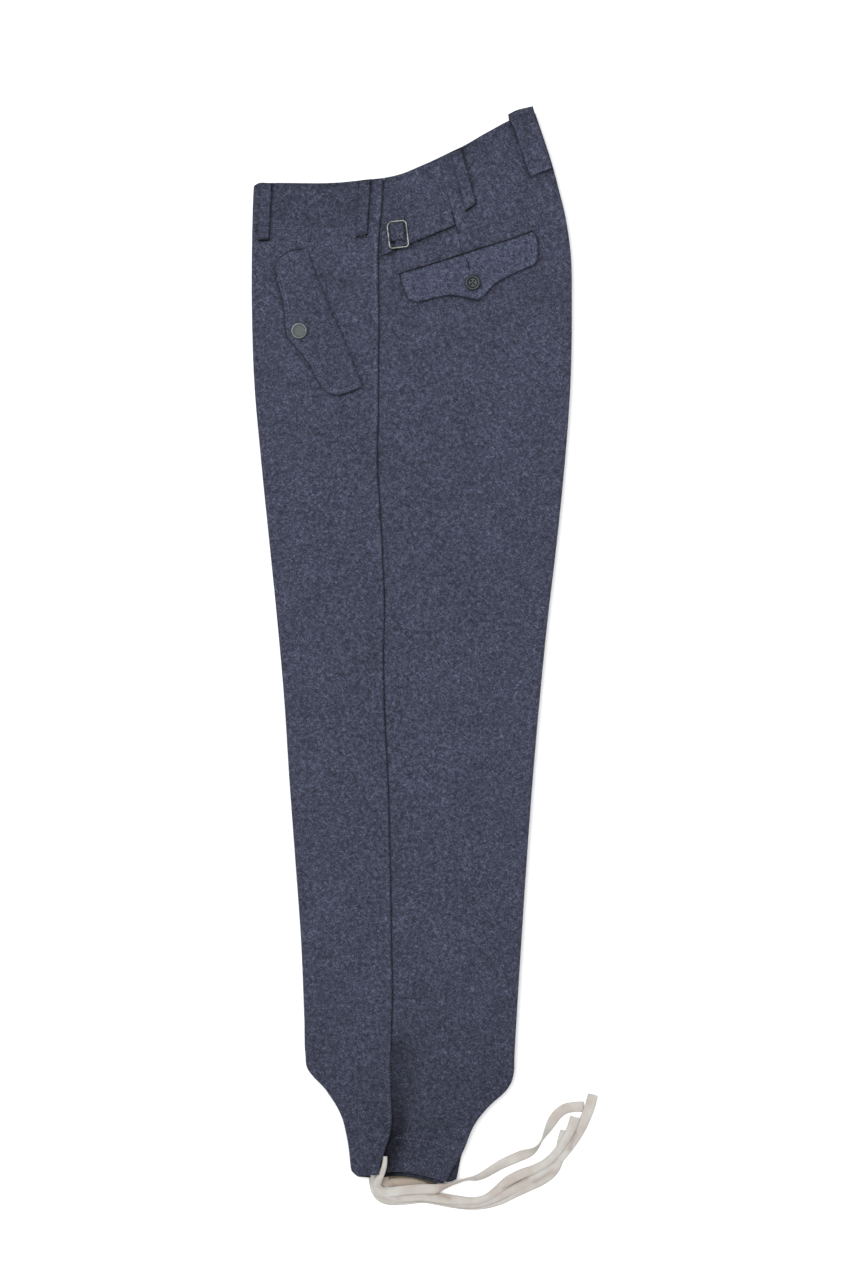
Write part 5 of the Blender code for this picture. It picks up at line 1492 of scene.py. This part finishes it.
strap = lying_cloth(
    "strap", "cinch_strap", straight_sides(CINCH_STRAP), STRAP_THICKNESS, 1.0, melton, rim=-0.65, shade=strap_shade
)
tab = lying_cloth(
    "tab", "cinch_tab", straight_sides(CINCH_TAB), STRAP_THICKNESS, 1.0, melton, rim=-0.6, shade=tab_shade
)
lying_cloth(
    "strap_end", None, STRAP_END, STRAP_END_THICKNESS, 0.8, melton,
    middle=lambda x, y: cloth_top(x, y) + LIE_GAP + STRAP_THICKNESS + STRAP_END_THICKNESS / 2 + 0.15, rim=-0.25,
)
bent_wire("cinch_buckle", "buckle", WIRE_SHOWN * BUCKLE_WIRE, drawn_wire())

stitch_rows(
    "waist_and_ankle_stitches",
    [waist_stitch_line(), BACK_FACING_STITCH[:2], BACK_FACING_STITCH[2:], ANKLE_BACK_STITCH, ANKLE_FRONT_STITCH,
     ANKLE_FRONT_TOP],
    2.2, 1.3, 0.34, thread, "wool_melton", lambda x, y: cloth_top(x, y) + 0.02,
)
raised_seam("back_dart", DART_SEAM, melton)

# The last number is the strength of each button's painted rim highlight, painted shade below 0.
for name, node_name, centre, profile, finish, slot, holes, painted_rim_light in (
    ("front_button", "front_pocket_button", FRONT_BUTTON_CENTRE, PRESSED_METAL_PROFILE, painted,
     "painted_button_metal", 0, 2.2),
    ("back_button", "back_pocket_button", BACK_BUTTON_CENTRE, MOULDED_PROFILE, moulded, "button_plastic", 4, -0.3),
):
    seat = float(leg_surface(np.array(centre[0]), np.array(centre[1]))) + 2 * LIE_GAP + FLAP_THICKNESS
    turned_button(name, node_name, centre, profile, seat, finish, slot, holes, painted_rim_light)

hole_x, hole_y = BACK_BUTTON_CENTRE
reach = HOLE_OFFSET
button_top = float(leg_surface(np.array(hole_x), np.array(hole_y))) + 2 * LIE_GAP + FLAP_THICKNESS + 1.75
stitch_rows(
    "button_thread",
    [
        [(hole_x - reach, hole_y - reach + slip), (hole_x + reach, hole_y + reach + slip)]
        for slip in (-0.3, 0.3)
    ] + [
        [(hole_x - reach, hole_y + reach + slip), (hole_x + reach, hole_y - reach + slip)]
        for slip in (-0.3, 0.3)
    ],
    5.0, 0.1, 0.3, button_thread, None, lambda x, y: button_top + 0 * x,
)
stitch_rows(
    "buttonhole", [BUTTONHOLE], 1.5, -0.35, 0.62, dark_thread, None, lambda x, y: back_face(x, y) + 0.3
)

for letter in "dacb":
    route = TAPE_ROUTES["tie_tape_" + letter]
    made, path, length = woven_tape("tape_" + letter, "tie_tape_" + letter, route, TAPE_SPREADS[letter], cotton)
    stitching = tape_hem("tape_stitch_" + letter, route, 8.0, tape_thread)

floor_size = 8.0
bpy.ops.mesh.primitive_plane_add(size=floor_size, location=(0, 0, -0.0003))
floor = bpy.context.object
floor.name = "studio_floor"
paper, paper_tree, paper_shader = new_material("white_background_paper")
paper_shader.inputs["Base Color"].default_value = (0.93, 0.93, 0.93, 1.0)
paper_shader.inputs["Roughness"].default_value = 0.9
floor.data.materials.append(paper)

scene = bpy.context.scene
scene.view_settings.view_transform = "Standard"
world = bpy.data.worlds.new("white_studio")
world.use_nodes = True
world.node_tree.nodes["Background"].inputs["Color"].default_value = (1.0, 1.0, 1.0, 1.0)
world.node_tree.nodes["Background"].inputs["Strength"].default_value = 1.02
scene.world = world


def soft_box(name, place, size, power):
    """A square studio light that faces the middle of the garment."""
    lamp = bpy.data.lights.new(name, "AREA")
    lamp.shape, lamp.size, lamp.energy = "SQUARE", size, power
    made = bpy.data.objects.new(name, lamp)
    made.location = place
    made.rotation_euler = (-Vector(place)).to_track_quat("-Z", "Y").to_euler()
    scene.collection.objects.link(made)
    return made


soft_box("key_light", (-0.9, 0.75, 2.95), 3.2, 93.0)

camera = bpy.data.cameras.new("camera")
camera.lens = 85.0
camera.sensor_width = 36.0
camera.clip_end = 30.0
taker = bpy.data.objects.new("camera", camera)
taker.location = (0.0139, 0.0083, 3.176)
scene.collection.objects.link(taker)
scene.camera = taker
